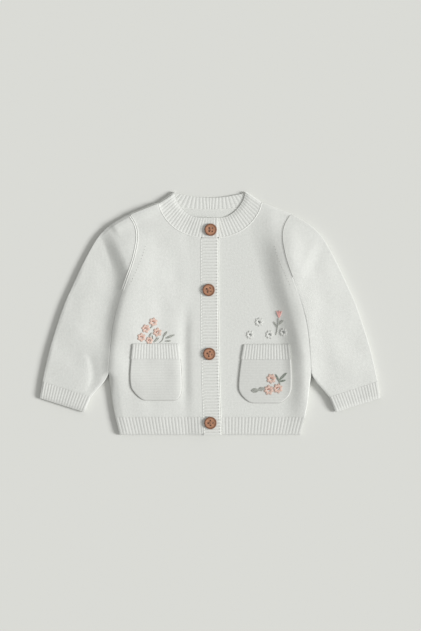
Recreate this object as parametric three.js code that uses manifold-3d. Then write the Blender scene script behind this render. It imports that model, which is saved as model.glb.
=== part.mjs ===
// Baby cardigan in a soft cotton knit, buttoned, lying on its back with its sleeves down.
// Millimetres. +X is the wearer's left, +Y is towards the neck and +Z is up from the surface it lies on.
// The origin is on that surface, in the middle between the cuffs and between the hem and the neck.
import * as THREE from "three";
import { mergeVertices } from "three/addons/utils/BufferGeometryUtils.js";
import Module from "manifold-3d";

// Overall sizes
const LENGTH = 300; // hem to the top of the neckband
const SPAN = 420; // cuff to cuff
const HEM_Y = -LENGTH / 2;
const TOP_Y = LENGTH / 2;

// Cloth
const CLOTH = 2.2; // thickness of the knit
const SEAM = 0.3; // gap between neighbouring pieces
const NECK_GAP = 0.4; // the same round the neck, where chords of two lengths follow one curve
const ABUT = 0.5; // gap between a sleeve and the side of the body
const RIB_RISE = 0.8; // how far a rib stands over the groove beside it
const RIB_DEPTH = 22; // height of the hem's and the cuffs' ribbing
const EDGE_SHARE = 0.45; // share of the thickness left at the very edge of a fold
const EDGE_ROUND = 2.2; // how far in the edge takes to reach full thickness

// How the front lies over the back
const QUICK_RISE = 0.6; // how far the front rises right beside a folded edge
const SLOW_RISE = 2; // how much further it rises towards the middle
const SLOW_POWER = 1.2; // steepness of that slow rise at its start
const END_SETTLE = 0.5; // share of the rise lost at an open end
const END_REACH = 22; // how far in from an open end that is felt
const END_CREASE = 8; // how far in from an open end the creases take to form
const FOLD_RADIUS = CLOTH + SEAM / 2; // outside radius of a folded edge
const BACK_TOP = CLOTH;
const FRONT_BASE = CLOTH + SEAM; // underside of cloth that lies straight on the back
const OVER_BASE = 2 * FRONT_BASE; // underside of the upper button band

// Button bands, from the neckband's seam to the hem
const BAND_WIDTH = 20.8;
const UNDER_SHIFT = 0.9; // the under band sits this much further left than the upper one
const OVER_BLEND = 26; // how far from the bands the right front takes to reach its own height
const UNDER_BLEND = 60; // the same for the left front
const UNDER_POWER = 1.8; // how long the left front stays low on that way
const BAND_TOP_Y = 92.8;
const BAND_LEAN = { start: 30, run: 180, lean: 4, shift: -0.8 };

// Ribs on each piece
const HEM_PITCH = 3.85;
const BAND_PITCH = 3.75;
const RIBS = { neckOver: 22, neckUnder: 22, neckBack: 21, cuff: 17, pocket: 17 };

// Outlines of the wearer's left half, seen from above. The right half mirrors them.
const NECK_CORNER = { x: 64.4, y: 136.6 }; // neckband seam at the shoulder
const NECK_PEAK = { x: 44.7, y: TOP_Y }; // top of the neckband's side fold
const SHOULDER_TIP = { x: 100, y: 122.2 };
const UNDERARM = { x: 108.6, y: 26 };
const CUFF_OUTER = { x: SPAN / 2, y: -104.6 };
const CUFF_INNER = { x: 155, y: -122 };
const SLEEVE_END_OUTER = { x: 206.6, y: -84 };
const SLEEVE_END_INNER = { x: 146.6, y: -103.2 };

const SIDE = [
  UNDERARM,
  { x: 114.8, y: 5 },
  { x: 119.7, y: -17 },
  { x: 122.2, y: -39 },
  { x: 124.4, y: -71 },
  { x: 122.6, y: -91 },
  { x: 119.6, y: -114 },
  { x: 116.8, y: HEM_Y + RIB_DEPTH },
  { x: 111, y: HEM_Y },
];
const SLEEVE_OUTER = [
  SHOULDER_TIP,
  { x: 118.6, y: 111.8 },
  { x: 131, y: 101.8 },
  { x: 142, y: 88 },
  { x: 156.5, y: 61.4 },
  { x: 168, y: 37 },
  { x: 180.4, y: 8.9 },
  { x: 191.6, y: -24.3 },
  { x: 199.6, y: -51.6 },
  SLEEVE_END_OUTER,
];
// The inner edge runs beside the body as far as PARTING, then leaves it.
const PARTING = { x: 124.6, y: -74 };
const SLEEVE_LEAVES = [PARTING, { x: 130.2, y: -84 }, { x: 137.6, y: -92.6 }, SLEEVE_END_INNER];
const ARMHOLE = [
  SHOULDER_TIP,
  { x: 92.2, y: 108.8 },
  { x: 89.8, y: 92.8 },
  { x: 94.2, y: 68 },
  { x: 103, y: 42 },
  UNDERARM,
];
const NECK_SEAM = [
  { x: 0, y: BAND_TOP_Y },
  { x: 14.8, y: 93.8 },
  { x: 28.6, y: 97.4 },
  { x: 41.5, y: 103.9 },
  { x: 52.3, y: 113.6 },
  { x: 60, y: 125.4 },
];
const NECK_EDGE = [
  { x: 0, y: 117 },
  { x: 14.8, y: 118 },
  { x: 24.9, y: 121.4 },
  { x: 33.8, y: 128.6 },
  { x: 41.2, y: 139.6 },
];
const BACK_NECK_SEAM = [
  { x: 0, y: 127.8 },
  { x: 15, y: 128.2 },
  { x: 30, y: 129.4 },
  { x: 48, y: 131.6 },
];
const BACK_NECK_EDGE = [
  { x: 0, y: 142.2 },
  { x: 15, y: 143 },
  { x: 29.6, y: 145.4 },
];

// How far in the cloth takes to rise from each folded edge, quickly and in all. Above heldUp an edge
// stands as high as the cloth beside it, because the body and the sleeve hold each other up.
const REACHES = {
  left: {
    shoulder: { quick: 3, slow: 30 },
    sleeveOuter: { quick: 0.8, slow: 46 },
    bodySide: { quick: 2.2, slow: 6, heldUp: -80 },
    sleeveInner: { quick: 2, slow: 6, heldUp: -80 },
  },
  right: {
    shoulder: { quick: 3, slow: 30 },
    sleeveOuter: { quick: 2, slow: 60 },
    bodySide: { quick: 3.2, slow: 4 },
    sleeveInner: { quick: 2, slow: 6, heldUp: -80 },
  },
};
const HELD_LIFT = 40; // how much further off a held-up edge counts
const HELD_BLEND = 26; // length of edge over which that sets in

// Soft creases in the front layer: a ridge where height is positive, a trough where it is negative.
// Each runs through its points from the top down. right and left are its widths towards those sides
// of the wearer, and fade is the share of its length over which either end dies away.
const CREASES = [
  {
    x: [-112, -106, -101, -99, -99, -106, -112, -115, -117, -117, -113],
    y: [106, 96, 84, 60, 35, 10, -15, -39, -64, -89, -126],
    height: 6.2,
    right: 13,
    left: 36,
    fade: 0.14,
  },
  {
    x: [-138, -131, -123, -118, -120, -126, -130],
    y: [98, 82, 62, 42, 20, -10, -50],
    height: -1.6,
    right: 22,
    left: 10,
    fade: 0.3,
  },
  {
    x: [97, 98, 98.7, 101, 111, 115, 117.5, 119, 119, 114],
    y: [122, 84, 60, 36, 10, -15, -39, -64, -90, -126],
    height: 3,
    right: 26,
    left: 14,
    fade: 0.2,
  },
  {
    x: [92, 94, 98.7, 101, 111, 115, 117.5, 121, 125],
    y: [112, 84, 60, 36, 10, -15, -39, -64, -90],
    height: 3.4,
    right: 24,
    left: 52,
    fade: 0.26,
  },
  { x: [119, 118, 114, 110], y: [-72, -92, -114, -136], height: 1.4, right: 11, left: 6, fade: 0.3 },
  { x: [-27, -29, -30, -29, -28], y: [22, -20, -60, -110, -134], height: -2, right: 5, left: 6, fade: 0.3 },
  { x: [-153, -146, -145, -153], y: [-44, -62, -82, -100], height: -0.8, right: 4, left: 6, fade: 0.3 },
  { x: [136, 123, 112, 108], y: [96, 74, 50, 34], height: 0.4, right: 6, left: 9, fade: 0.3 },
  { x: [143, 130, 120], y: [94, 66, 40], height: -0.4, right: 7, left: 9, fade: 0.3 },
  { x: [32, 33], y: [-40, -118], height: -0.6, right: 6, left: 7, fade: 0.3 },
];

// Patch pockets: rows from the top down, with the side nearer the arm and the side nearer the buttons.
const WELT_DEPTH = 18.6;
const POCKET_GAP = 0.5; // between a pocket and the front it is sewn on
const POCKET_BULGE = 0.4;
const POCKET_CLOTH = 2;
const POCKETS = {
  right: [
    { y: -37.6, arm: -95, middle: -38.8 },
    { y: -37.6 - WELT_DEPTH, arm: -97, middle: -36.4 },
    { y: -75, arm: -98.4, middle: -35.2 },
    { y: -90, arm: -97.4, middle: -34.8 },
    { y: -97, arm: -93.6, middle: -35.4 },
    { y: -102.4, arm: -88.6, middle: -37.2 },
    { y: -105.8, arm: -84, middle: -40.6 },
    { y: -107, arm: -80, middle: -44.4 },
  ],
  left: [
    { y: -38.2, arm: 97.4, middle: 41.6 },
    { y: -38.2 - WELT_DEPTH, arm: 99.4, middle: 38.4 },
    { y: -76, arm: 100.4, middle: 36 },
    { y: -92, arm: 100.2, middle: 35.2 },
    { y: -99.6, arm: 98.2, middle: 38 },
    { y: -105, arm: 94.2, middle: 42.6 },
    { y: -109, arm: 89, middle: 48 },
    { y: -110.4, arm: 84, middle: 53 },
  ],
};

// Buttons
const BUTTON = { radius: 7.6, thickness: 3, foot: 6.2, rim: 1.5, dish: 0.9, chamfer: 0.9 };
const BUTTON_SIDES = 20;
const HOLE = { radius: 0.95, offset: 1.75, sides: 6 };
const BUTTONS = [
  { x: 0.9, y: 102.8 },
  { x: -1.6, y: 28.6 },
  { x: -0.8, y: -50.1 },
  { x: 0.6, y: -135.1 },
];

// Colours and finishes
const CREAM_KNIT = new THREE.MeshStandardMaterial({ color: 0xe2e4dd, roughness: 0.95, metalness: 0 });
const CREAM_RIB = new THREE.MeshStandardMaterial({ color: 0xe6e8e1, roughness: 0.95, metalness: 0 });
const BROWN_BUTTON = new THREE.MeshStandardMaterial({ color: 0x9a6547, roughness: 0.5, metalness: 0 });

// Plane curves

const clamp01 = (t) => Math.min(1, Math.max(0, t));
const smooth = (t) => clamp01(t) ** 2 * (3 - 2 * clamp01(t));
const mix = (a, b, t) => a + (b - a) * t;
const vector = (row) => new THREE.Vector2(row.x, row.y);
const mirrored = (rows, side) => rows.map((row) => ({ x: side * row.x, y: row.y }));

// Points evenly spaced along the smooth curve through the rows.
function spaced(rows, steps) {
  return new THREE.SplineCurve(rows.map(vector)).getSpacedPoints(steps);
}

// Points from a to b, both included.
function straight(a, b, steps) {
  return Array.from({ length: steps + 1 }, (_, i) => vector(a).lerp(vector(b), i / steps));
}

// Points from a to b, each below the one at the same place in the line over them.
function under(line, a, b) {
  const run = line.at(-1).x - line[0].x;
  return line.map(({ x }) => a.clone().lerp(b, (x - line[0].x) / run));
}

// The line moved sideways: to the left of its direction for a positive distance.
function offset(points, distance) {
  return points.map((point, i) => {
    const before = points[Math.max(0, i - 1)];
    const after = points[Math.min(points.length - 1, i + 1)];
    const along = after.clone().sub(before).normalize();
    return new THREE.Vector2(point.x - along.y * distance, point.y + along.x * distance);
  });
}

// Two lines end to end, the second one's first point dropped.
const joined = (first, second) => [...first, ...second.slice(1)];

// How far off a line is, the share of its length at its nearest point, and whether (x, y) is on its left.
function nearestOn(x, y, points) {
  let nearest = { away: Infinity };
  for (let i = 1; i < points.length; i++) {
    const from = points[i - 1];
    const dx = points[i].x - from.x;
    const dy = points[i].y - from.y;
    const t = clamp01(((x - from.x) * dx + (y - from.y) * dy) / (dx * dx + dy * dy));
    const offX = x - from.x - t * dx;
    const offY = y - from.y - t * dy;
    const away = Math.hypot(offX, offY);
    if (away >= nearest.away) continue;
    nearest = { away, share: (i - 1 + t) / (points.length - 1), left: dx * offY > dy * offX };
  }
  return nearest;
}

// The garment's own lines, for one side: +1 is the wearer's left, -1 the right

const LINE_STEPS = 28;

function bodySide(side, steps = LINE_STEPS) {
  return spaced(mirrored(SIDE, side), steps);
}

// The sleeve's inner edge: just clear of the body down to PARTING, then free.
function sleeveInner(side, steps = LINE_STEPS) {
  const beside = SIDE.filter((row) => row.y > PARTING.y + 1).map((row) => ({ x: row.x + ABUT, y: row.y }));
  const leaving = SLEEVE_LEAVES.map((row, i) => ({ x: row.x + (i === 0 ? ABUT : 0), y: row.y }));
  return spaced(mirrored([...beside, ...leaving], side), steps);
}

// The folded edges of one half, each with its line and reach.
function foldsOf(side) {
  const reach = side > 0 ? REACHES.left : REACHES.right;
  const cuffOuter = mirrored([SLEEVE_END_OUTER, CUFF_OUTER], side);
  const cuffInner = mirrored([SLEEVE_END_INNER, CUFF_INNER], side);
  return [
    { line: mirrored([NECK_PEAK, NECK_CORNER, SHOULDER_TIP], side), ...reach.shoulder },
    { line: joined(spaced(mirrored(SLEEVE_OUTER, side), LINE_STEPS), cuffOuter), ...reach.sleeveOuter },
    { line: bodySide(side), ...reach.bodySide },
    { line: joined(sleeveInner(side), cuffInner), ...reach.sleeveInner },
  ];
}

const EDGE_FOLDS = [...foldsOf(1), ...foldsOf(-1)];
const neckEdge = (side) => spaced(mirrored([...NECK_EDGE, NECK_PEAK], side), 16);
const OPEN_ENDS = [
  mirrored([SIDE.at(-1), { x: -SIDE.at(-1).x, y: HEM_Y }], 1),
  mirrored([CUFF_OUTER, CUFF_INNER], 1),
  mirrored([CUFF_OUTER, CUFF_INNER], -1),
  neckEdge(1),
  neckEdge(-1),
];

// Heights of the cloth

const endDistance = (x, y) => Math.min(...OPEN_ENDS.map((line) => nearestOn(x, y, line).away));

// Distance to a folded edge, counted longer where the edge is held up.
function foldAway(x, y, { line, heldUp = Infinity }) {
  return nearestOn(x, y, line).away + HELD_LIFT * smooth((y - heldUp) / HELD_BLEND);
}

const foldDistance = (x, y) => Math.min(...EDGE_FOLDS.map((fold) => foldAway(x, y, fold)));

const CREASE_LINES = CREASES.map((crease) => spaced(crease.x.map((x, i) => ({ x, y: crease.y[i] })), 24));

function creaseLift(x, y) {
  return CREASES.reduce((sum, crease, i) => {
    const { away, share, left } = nearestOn(x, y, CREASE_LINES[i]);
    const width = left ? crease.left : crease.right;
    const ends = smooth(Math.min(share, 1 - share) / crease.fade);
    return sum + crease.height * ends * Math.exp(-((away / width) ** 2));
  }, 0);
}

// Underside of the front layer and of the sleeves' upper side.
function frontHeight(x, y) {
  const risen = (reach) => {
    const inside = (fold) => Math.max(0, foldAway(x, y, fold) - FOLD_RADIUS);
    return clamp01(Math.min(...EDGE_FOLDS.map((fold) => inside(fold) / fold[reach])));
  };
  const quick = 1 - (1 - risen("quick")) ** 2;
  const slow = 1 - (1 - risen("slow")) ** SLOW_POWER;
  const end = endDistance(x, y);
  const settled = 1 - END_SETTLE * Math.exp(-end / END_REACH);
  const creases = creaseLift(x, y) * Math.sqrt(clamp01(end / END_CREASE));
  return FRONT_BASE + quick * Math.max(0, (QUICK_RISE + slow * SLOW_RISE) * settled + creases);
}

// Thickness of the cloth, less at the very edge of a fold, which is round.
function thickness(x, y) {
  const t = clamp01(foldDistance(x, y) / EDGE_ROUND);
  return CLOTH * mix(EDGE_SHARE, 1, Math.sqrt(1 - (1 - t) ** 2));
}

function bandCentre(y) {
  return BAND_LEAN.shift + BAND_LEAN.lean * clamp01((BAND_LEAN.start - y) / BAND_LEAN.run) ** 2;
}

// The right front carries the upper band, the left front the under band.
function overHeight(x, y) {
  const away = Math.abs(x - bandCentre(y)) - BAND_WIDTH / 2;
  return mix(OVER_BASE, frontHeight(x, y), smooth(away / OVER_BLEND));
}

function underHeight(x, y) {
  const away = x - bandCentre(y) - BAND_WIDTH / 2 - UNDER_SHIFT;
  return mix(FRONT_BASE, frontHeight(x, y), smooth(away / UNDER_BLEND) ** UNDER_POWER);
}

const heightOf = (side) => (side > 0 ? underHeight : overHeight);

// Closed surfaces

// A closed mesh from its points and triangles, turned to face outwards.
function closed(positions, index) {
  const at = (i) => new THREE.Vector3().fromArray(positions, 3 * index[i]);
  let volume = 0;
  for (let i = 0; i < index.length; i += 3) {
    volume += at(i).dot(at(i + 1).cross(at(i + 2))) / 6;
  }
  const facing = volume < 0 ? index.map((_, i) => index[i - (i % 3) + [0, 2, 1][i % 3]]) : index;
  const geometry = new THREE.BufferGeometry();
  geometry.setAttribute("position", new THREE.Float32BufferAttribute(positions, 3));
  geometry.setIndex(facing);
  geometry.computeVertexNormals();
  return geometry;
}

// A wall of cloth over a grid of columns and rows. skin(i, j) gives its outer and inner points.
function wall(columns, rows, skin) {
  const positions = [];
  const index = [];
  const count = (columns + 1) * (rows + 1);
  const cells = [];
  for (let j = 0; j <= rows; j++) {
    for (let i = 0; i <= columns; i++) cells.push(skin(i, j));
  }
  cells.forEach(({ outer }) => positions.push(...outer));
  cells.forEach(({ inner }) => positions.push(...inner));
  const outer = (i, j) => j * (columns + 1) + i;
  const inner = (i, j) => count + outer(i, j);
  const quad = (a, b, c, d) => index.push(a, b, c, a, c, d);
  for (let j = 0; j < rows; j++) {
    for (let i = 0; i < columns; i++) {
      quad(outer(i, j), outer(i + 1, j), outer(i + 1, j + 1), outer(i, j + 1));
      quad(inner(i, j), inner(i, j + 1), inner(i + 1, j + 1), inner(i + 1, j));
    }
  }
  for (let i = 0; i < columns; i++) {
    quad(outer(i, 0), inner(i, 0), inner(i + 1, 0), outer(i + 1, 0));
    quad(outer(i, rows), outer(i + 1, rows), inner(i + 1, rows), inner(i, rows));
  }
  for (let j = 0; j < rows; j++) {
    quad(outer(0, j), outer(0, j + 1), inner(0, j + 1), inner(0, j));
    quad(outer(columns, j), inner(columns, j), inner(columns, j + 1), outer(columns, j + 1));
  }
  return closed(positions, index);
}

// An open-ended tube with a wall, from rings of { outer, inner } points.
function tube(rings) {
  const around = rings[0].length;
  const positions = [];
  const index = [];
  rings.forEach((ring) => ring.forEach(({ outer }) => positions.push(...outer)));
  rings.forEach((ring) => ring.forEach(({ inner }) => positions.push(...inner)));
  const outer = (s, k) => s * around + (k % around);
  const inner = (s, k) => (rings.length + s) * around + (k % around);
  const quad = (a, b, c, d) => index.push(a, b, c, a, c, d);
  const last = rings.length - 1;
  for (let k = 0; k < around; k++) {
    for (let s = 0; s < last; s++) {
      quad(outer(s, k), outer(s, k + 1), outer(s + 1, k + 1), outer(s + 1, k));
      quad(inner(s, k), inner(s + 1, k), inner(s + 1, k + 1), inner(s, k + 1));
    }
    quad(outer(0, k), inner(0, k), inner(0, k + 1), outer(0, k + 1));
    quad(outer(last, k), outer(last, k + 1), inner(last, k + 1), inner(last, k));
  }
  return closed(positions, index);
}

// A patch between four lines of points that meet at its corners, as a function of column and row.
// It runs straight from bottom to top, and bends towards the side lines by hold, a power of the
// distance across: 1 bends it evenly and more keeps the bend close to the sides.
function patch(bottom, top, left, right, hold = 1) {
  const columns = bottom.length - 1;
  const rows = left.length - 1;
  return (i, j) => {
    const u = bottom[i].distanceTo(bottom[0]) / bottom[columns].distanceTo(bottom[0]);
    const v = j / rows;
    const blend = (axis) => {
      const ruled = (k) => mix(bottom[k][axis], top[k][axis], v);
      const bendLeft = (1 - u) ** hold * (left[j][axis] - ruled(0));
      const bendRight = u ** hold * (right[j][axis] - ruled(columns));
      return ruled(i) + bendLeft + bendRight;
    };
    return { x: blend("x"), y: blend("y") };
  };
}

// Cloth of the front layer over a patch: its underside at height(x, y), its ribs raised on top.
function frontCloth(place, height, rise = () => 0) {
  return (i, j) => {
    const { x, y } = place(i, j);
    const low = height(x, y);
    return { outer: [x, y, low + thickness(x, y) + rise(i, j)], inner: [x, y, low] };
  };
}

// Cloth of the back layer: flat on the surface below, round at its folded edges.
function backCloth(place) {
  return (i, j) => {
    const { x, y } = place(i, j);
    return { outer: [x, y, CLOTH - thickness(x, y)], inner: [x, y, BACK_TOP] };
  };
}

// Raised on every other column, so that two columns make a rib.
const ribOnColumns = (i) => (i % 2 ? RIB_RISE : 0);
const ribOnRows = (i, j) => (j % 2 ? RIB_RISE : 0);

// Body panels

const SIDE_HOLD = 3;
const FRONT_GRID = { neck: 15, shoulder: 5, side: 12, armhole: 12 };
const BACK_GRID = { neck: 7, shoulder: 2, side: 6, armhole: 12 };

// The neckband is folded along this line at each side, its cloth turning under round a half circle.
const FOLD_ALONG = vector(NECK_PEAK).sub(vector(NECK_CORNER)).normalize();
const FOLD_OUT = { x: FOLD_ALONG.y, y: -FOLD_ALONG.x };
const foldCentre = ({ x, y }) => ({ x: x - FOLD_OUT.x * FOLD_RADIUS, y: y - FOLD_OUT.y * FOLD_RADIUS });
const PANEL_CORNER = {
  x: NECK_CORNER.x - FOLD_ALONG.x * NECK_GAP,
  y: NECK_CORNER.y - FOLD_ALONG.y * NECK_GAP,
};

// The end of the neckband's seam or edge on each front: the right one's lies over the left one's.
function stripEnd(rows, side) {
  const reach = side > 0 ? UNDER_SHIFT - BAND_WIDTH / 2 : BAND_WIDTH / 2;
  return { x: bandCentre(BAND_TOP_Y) + reach, y: rows[0].y + 0.4 };
}

// A seam or edge of the neckband from the garment's middle to the side fold.
function neckCurve(rows, end, side, start, steps) {
  const beyond = rows.filter((row) => row.x > 0.6 * BAND_WIDTH);
  return spaced([start, ...mirrored([...beyond, foldCentre(end)], side)], steps);
}

function armhole(side, steps) {
  return spaced(mirrored(ARMHOLE, side), steps);
}

// The side seam from the hem's ribbing up to the underarm.
function sideSeam(side, steps) {
  const above = SIDE.filter((row) => row.y >= HEM_Y + RIB_DEPTH - 1).reverse();
  above[0] = { x: above[0].x, y: HEM_Y + RIB_DEPTH + SEAM / 2 };
  return spaced(mirrored(above, side), steps);
}

function frontPanel(side) {
  const grid = FRONT_GRID;
  const low = HEM_Y + RIB_DEPTH + SEAM / 2;
  const inset = side > 0 ? BAND_WIDTH / 2 + UNDER_SHIFT + SEAM : -BAND_WIDTH / 2 - SEAM;
  const bandEdge = (y) => ({ x: bandCentre(y) + inset, y });
  const seam = neckCurve(NECK_SEAM, NECK_CORNER, side, stripEnd(NECK_SEAM, side), grid.neck);
  const clear = offset(seam, -side * NECK_GAP);
  const edgeX = bandEdge(BAND_TOP_Y).x;
  const first = clear.findIndex(({ x }) => side * (x - edgeX) > 2);
  const along = (edgeX - clear[first - 1].x) / (clear[first].x - clear[first - 1].x);
  const start = clear[first - 1].clone().lerp(clear[first], along);
  const neckLine = [start, ...clear.slice(first), ...mirrored([PANEL_CORNER], side).map(vector)];
  const corner = neckLine.at(-1);
  const shoulder = straight(corner, mirrored([SHOULDER_TIP], side)[0], grid.shoulder);
  const outside = joined(sideSeam(side, grid.side), armhole(side, grid.armhole).reverse());
  const rows = outside.length - 1;
  const bandAt = (j) => vector(bandEdge(mix(low, neckLine[0].y, j / rows)));
  const inside = Array.from({ length: rows + 1 }, (_, j) => bandAt(j));
  const top = joined(neckLine, shoulder);
  const bottom = under(top, inside[0], outside[0]);
  const place = patch(bottom, top, inside, outside, SIDE_HOLD);
  return wall(top.length - 1, rows, frontCloth(place, heightOf(side)));
}

function backPanel() {
  const grid = BACK_GRID;
  const neckHalf = (side) => neckCurve(BACK_NECK_SEAM, NECK_CORNER, side, BACK_NECK_SEAM[0], grid.neck);
  const seam = offset(joined(neckHalf(-1).reverse(), neckHalf(1)), -NECK_GAP);
  const corners = [-1, 1].map((side) => vector(mirrored([PANEL_CORNER], side)[0]));
  const neck = [corners[0], ...seam, corners[1]];
  const shoulder = (side, end) => straight(end, mirrored([SHOULDER_TIP], side)[0], grid.shoulder);
  const top = joined(joined(shoulder(-1, neck[0]).reverse(), neck), shoulder(1, neck.at(-1)));
  const sideLine = (side) => joined(sideSeam(side, grid.side), armhole(side, grid.armhole).reverse());
  const left = sideLine(-1);
  const right = sideLine(1);
  const bottom = under(top, left[0], right[0]);
  const place = patch(bottom, top, left, right, SIDE_HOLD);
  return wall(top.length - 1, left.length - 1, backCloth(place));
}

// Ribbing at the hem

function hemFront(side) {
  const inset = side > 0 ? BAND_WIDTH / 2 + UNDER_SHIFT + SEAM : -BAND_WIDTH / 2 - SEAM;
  const high = HEM_Y + RIB_DEPTH - SEAM / 2;
  const corner = (y) => ({ x: bandCentre(y) + inset, y });
  const reach = Math.abs(side * SIDE.at(-1).x - corner(HEM_Y).x);
  const columns = 2 * Math.round(reach / HEM_PITCH);
  const sideTop = { x: side * SIDE.at(-2).x, y: high };
  const sideLow = { x: side * SIDE.at(-1).x, y: HEM_Y };
  const place = patch(
    straight(corner(HEM_Y), sideLow, columns),
    straight(corner(high), sideTop, columns),
    straight(corner(HEM_Y), corner(high), 1),
    straight(sideLow, sideTop, 1),
  );
  return wall(columns, 1, frontCloth(place, heightOf(side), ribOnColumns));
}

function hemBack() {
  const columns = 8;
  const high = HEM_Y + RIB_DEPTH - SEAM / 2;
  const ends = (y, x) => straight({ x: -x, y }, { x, y }, columns);
  const low = ends(HEM_Y, SIDE.at(-1).x);
  const top = ends(high, SIDE.at(-2).x);
  const place = patch(low, top, straight(low[0], top[0], 1), straight(low.at(-1), top.at(-1), 1));
  return wall(columns, 1, backCloth(place));
}

// Button bands

function buttonBand(over) {
  const top = BAND_TOP_Y - SEAM;
  const rows = over ? 2 * Math.round((top - HEM_Y) / BAND_PITCH) : 16;
  const columns = over ? 2 : 1;
  const shift = over ? 0 : UNDER_SHIFT;
  const base = over ? OVER_BASE : FRONT_BASE;
  const place = (i, j) => {
    const y = mix(HEM_Y, top, j / rows);
    return { x: bandCentre(y) + shift + BAND_WIDTH * (i / columns - 0.5), y };
  };
  return wall(columns, rows, (i, j) => {
    const { x, y } = place(i, j);
    const rise = over ? ribOnRows(i, j) : 0;
    return { outer: [x, y, base + CLOTH + rise], inner: [x, y, base] };
  });
}

// Neckband: one ribbed strip from the upper band's edge, round the neck and back under that edge

const NECK_ROWS = 2;
const TURN_STEPS = 4;

// The strip's seam and free edge on one front, from its end at the band to the side fold.
function neckFront(side, steps) {
  const line = (rows, end) => neckCurve(rows, end, side, stripEnd(rows, side), steps);
  return { seam: line(NECK_SEAM, NECK_CORNER), edge: line(NECK_EDGE, NECK_PEAK) };
}

// The same two lines across the back.
function neckBack(steps) {
  const half = (rows, end, side) => neckCurve(rows, end, side, rows[0], steps / 2);
  const line = (rows, end) => joined(half(rows, end, -1).reverse(), half(rows, end, 1));
  return { seam: line(BACK_NECK_SEAM, NECK_CORNER), edge: line(BACK_NECK_EDGE, NECK_PEAK) };
}

// One column of the strip: the points across it, on both faces.
function column(seam, edge, low, high) {
  return Array.from({ length: NECK_ROWS + 1 }, (_, j) => {
    const { x, y } = seam.clone().lerp(edge, j / NECK_ROWS);
    return { outer: [x, y, high(x, y)], inner: [x, y, low(x, y)] };
  });
}

function frontColumns(side, ribs) {
  const { seam, edge } = neckFront(side, 2 * ribs);
  const low = heightOf(side);
  return seam.map((point, i) => {
    const hidden = side > 0 && Math.abs(point.x - bandCentre(point.y)) < BAND_WIDTH / 2 + 1;
    const rise = hidden ? 0 : ribOnColumns(i);
    return column(point, edge[i], low, (x, y) => low(x, y) + CLOTH + rise);
  });
}

// The strip turned under round its side fold, from the front's face to the back's.
function turnColumns(side) {
  const outward = { x: side * FOLD_OUT.x, y: FOLD_OUT.y };
  const corners = mirrored([NECK_CORNER, NECK_PEAK], side).map(vector);
  const middle = CLOTH + SEAM / 2;
  return Array.from({ length: TURN_STEPS - 1 }, (_, k) => {
    const angle = Math.PI * (0.5 - (k + 1) / TURN_STEPS);
    return Array.from({ length: NECK_ROWS + 1 }, (_, j) => {
      const { x, y } = corners[0].clone().lerp(corners[1], j / NECK_ROWS);
      const at = (radius) => [
        x + outward.x * (radius * Math.cos(angle) - FOLD_RADIUS),
        y + outward.y * (radius * Math.cos(angle) - FOLD_RADIUS),
        middle + radius * Math.sin(angle),
      ];
      return { outer: at(FOLD_RADIUS), inner: at(SEAM / 2) };
    });
  });
}

function backColumns() {
  const { seam, edge } = neckBack(2 * RIBS.neckBack + 2);
  const rib = (i) => (i === 0 || i === seam.length - 1 ? 0 : ribOnColumns(i + 1));
  return seam.map((point, i) => column(point, edge[i], () => BACK_TOP + rib(i), () => 0));
}

function neckband() {
  const strip = [
    ...frontColumns(-1, RIBS.neckOver),
    ...turnColumns(-1),
    ...backColumns(),
    ...turnColumns(1).reverse(),
    ...frontColumns(1, RIBS.neckUnder).reverse(),
  ];
  return wall(strip.length - 1, NECK_ROWS, (i, j) => strip[i][j]);
}

// Sleeves and cuffs: flattened tubes, folded along their outer and inner edges

const SLEEVE_RINGS = 13;
const SLEEVE_ACROSS = 12;
const TURN = [45, 0, -45].map((degrees) => (degrees * Math.PI) / 180);

// A ring of the tube along the line from its outer edge to its inner edge, each edge half an ellipse.
function ring(line, lowerLine, ribbed) {
  const first = line[0];
  const last = line.at(-1);
  const inward = (a, b) => b.clone().sub(a).normalize();
  const startIn = inward(first, line[1]);
  const endIn = inward(last, line.at(-2));
  const upper = [first.clone().addScaledVector(startIn, FOLD_RADIUS), ...line.slice(1, -1)];
  upper.push(last.clone().addScaledVector(endIn, FOLD_RADIUS));
  const top = upper.map(({ x, y }, i) => {
    const low = frontHeight(x, y);
    return { outer: [x, y, low + CLOTH + (ribbed ? ribOnColumns(i) : 0)], inner: [x, y, low] };
  });
  const turned = ({ outer, inner }, into, angle) => {
    const at = (reach, low, high) => [
      outer[0] - into.x * reach * Math.cos(angle),
      outer[1] - into.y * reach * Math.cos(angle),
      mix(low, high, (1 + Math.sin(angle)) / 2),
    ];
    return { outer: at(FOLD_RADIUS, 0, outer[2]), inner: at(SEAM / 2, BACK_TOP, inner[2]) };
  };
  const bottom = [upper.at(-1), ...lowerLine.slice(1, -1).reverse(), upper[0]].map(({ x, y }) => ({
    outer: [x, y, 0],
    inner: [x, y, BACK_TOP],
  }));
  return [
    ...top,
    ...TURN.map((angle) => turned(top.at(-1), endIn, angle)),
    ...bottom,
    ...TURN.map((angle) => turned(top[0], startIn, -angle)),
  ];
}

function sleeve(side) {
  const start = offset(armhole(side, SLEEVE_ACROSS), side * SEAM);
  const outer = spaced(mirrored(SLEEVE_OUTER, side), SLEEVE_RINGS);
  const inner = sleeveInner(side, SLEEVE_RINGS);
  const end = straight(outer.at(-1), inner.at(-1), SLEEVE_ACROSS);
  start[0] = outer[0] = vector({ x: side * (SHOULDER_TIP.x + SEAM), y: SHOULDER_TIP.y - SEAM / 2 });
  start[SLEEVE_ACROSS] = inner[0] = vector({ x: side * (UNDERARM.x + ABUT), y: UNDERARM.y });
  const place = patch(start, end, outer, inner);
  const rings = Array.from({ length: SLEEVE_RINGS + 1 }, (_, j) => {
    const line = Array.from({ length: SLEEVE_ACROSS + 1 }, (_, i) => vector(place(i, j)));
    return ring(line, line, false);
  });
  return tube(rings);
}

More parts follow.
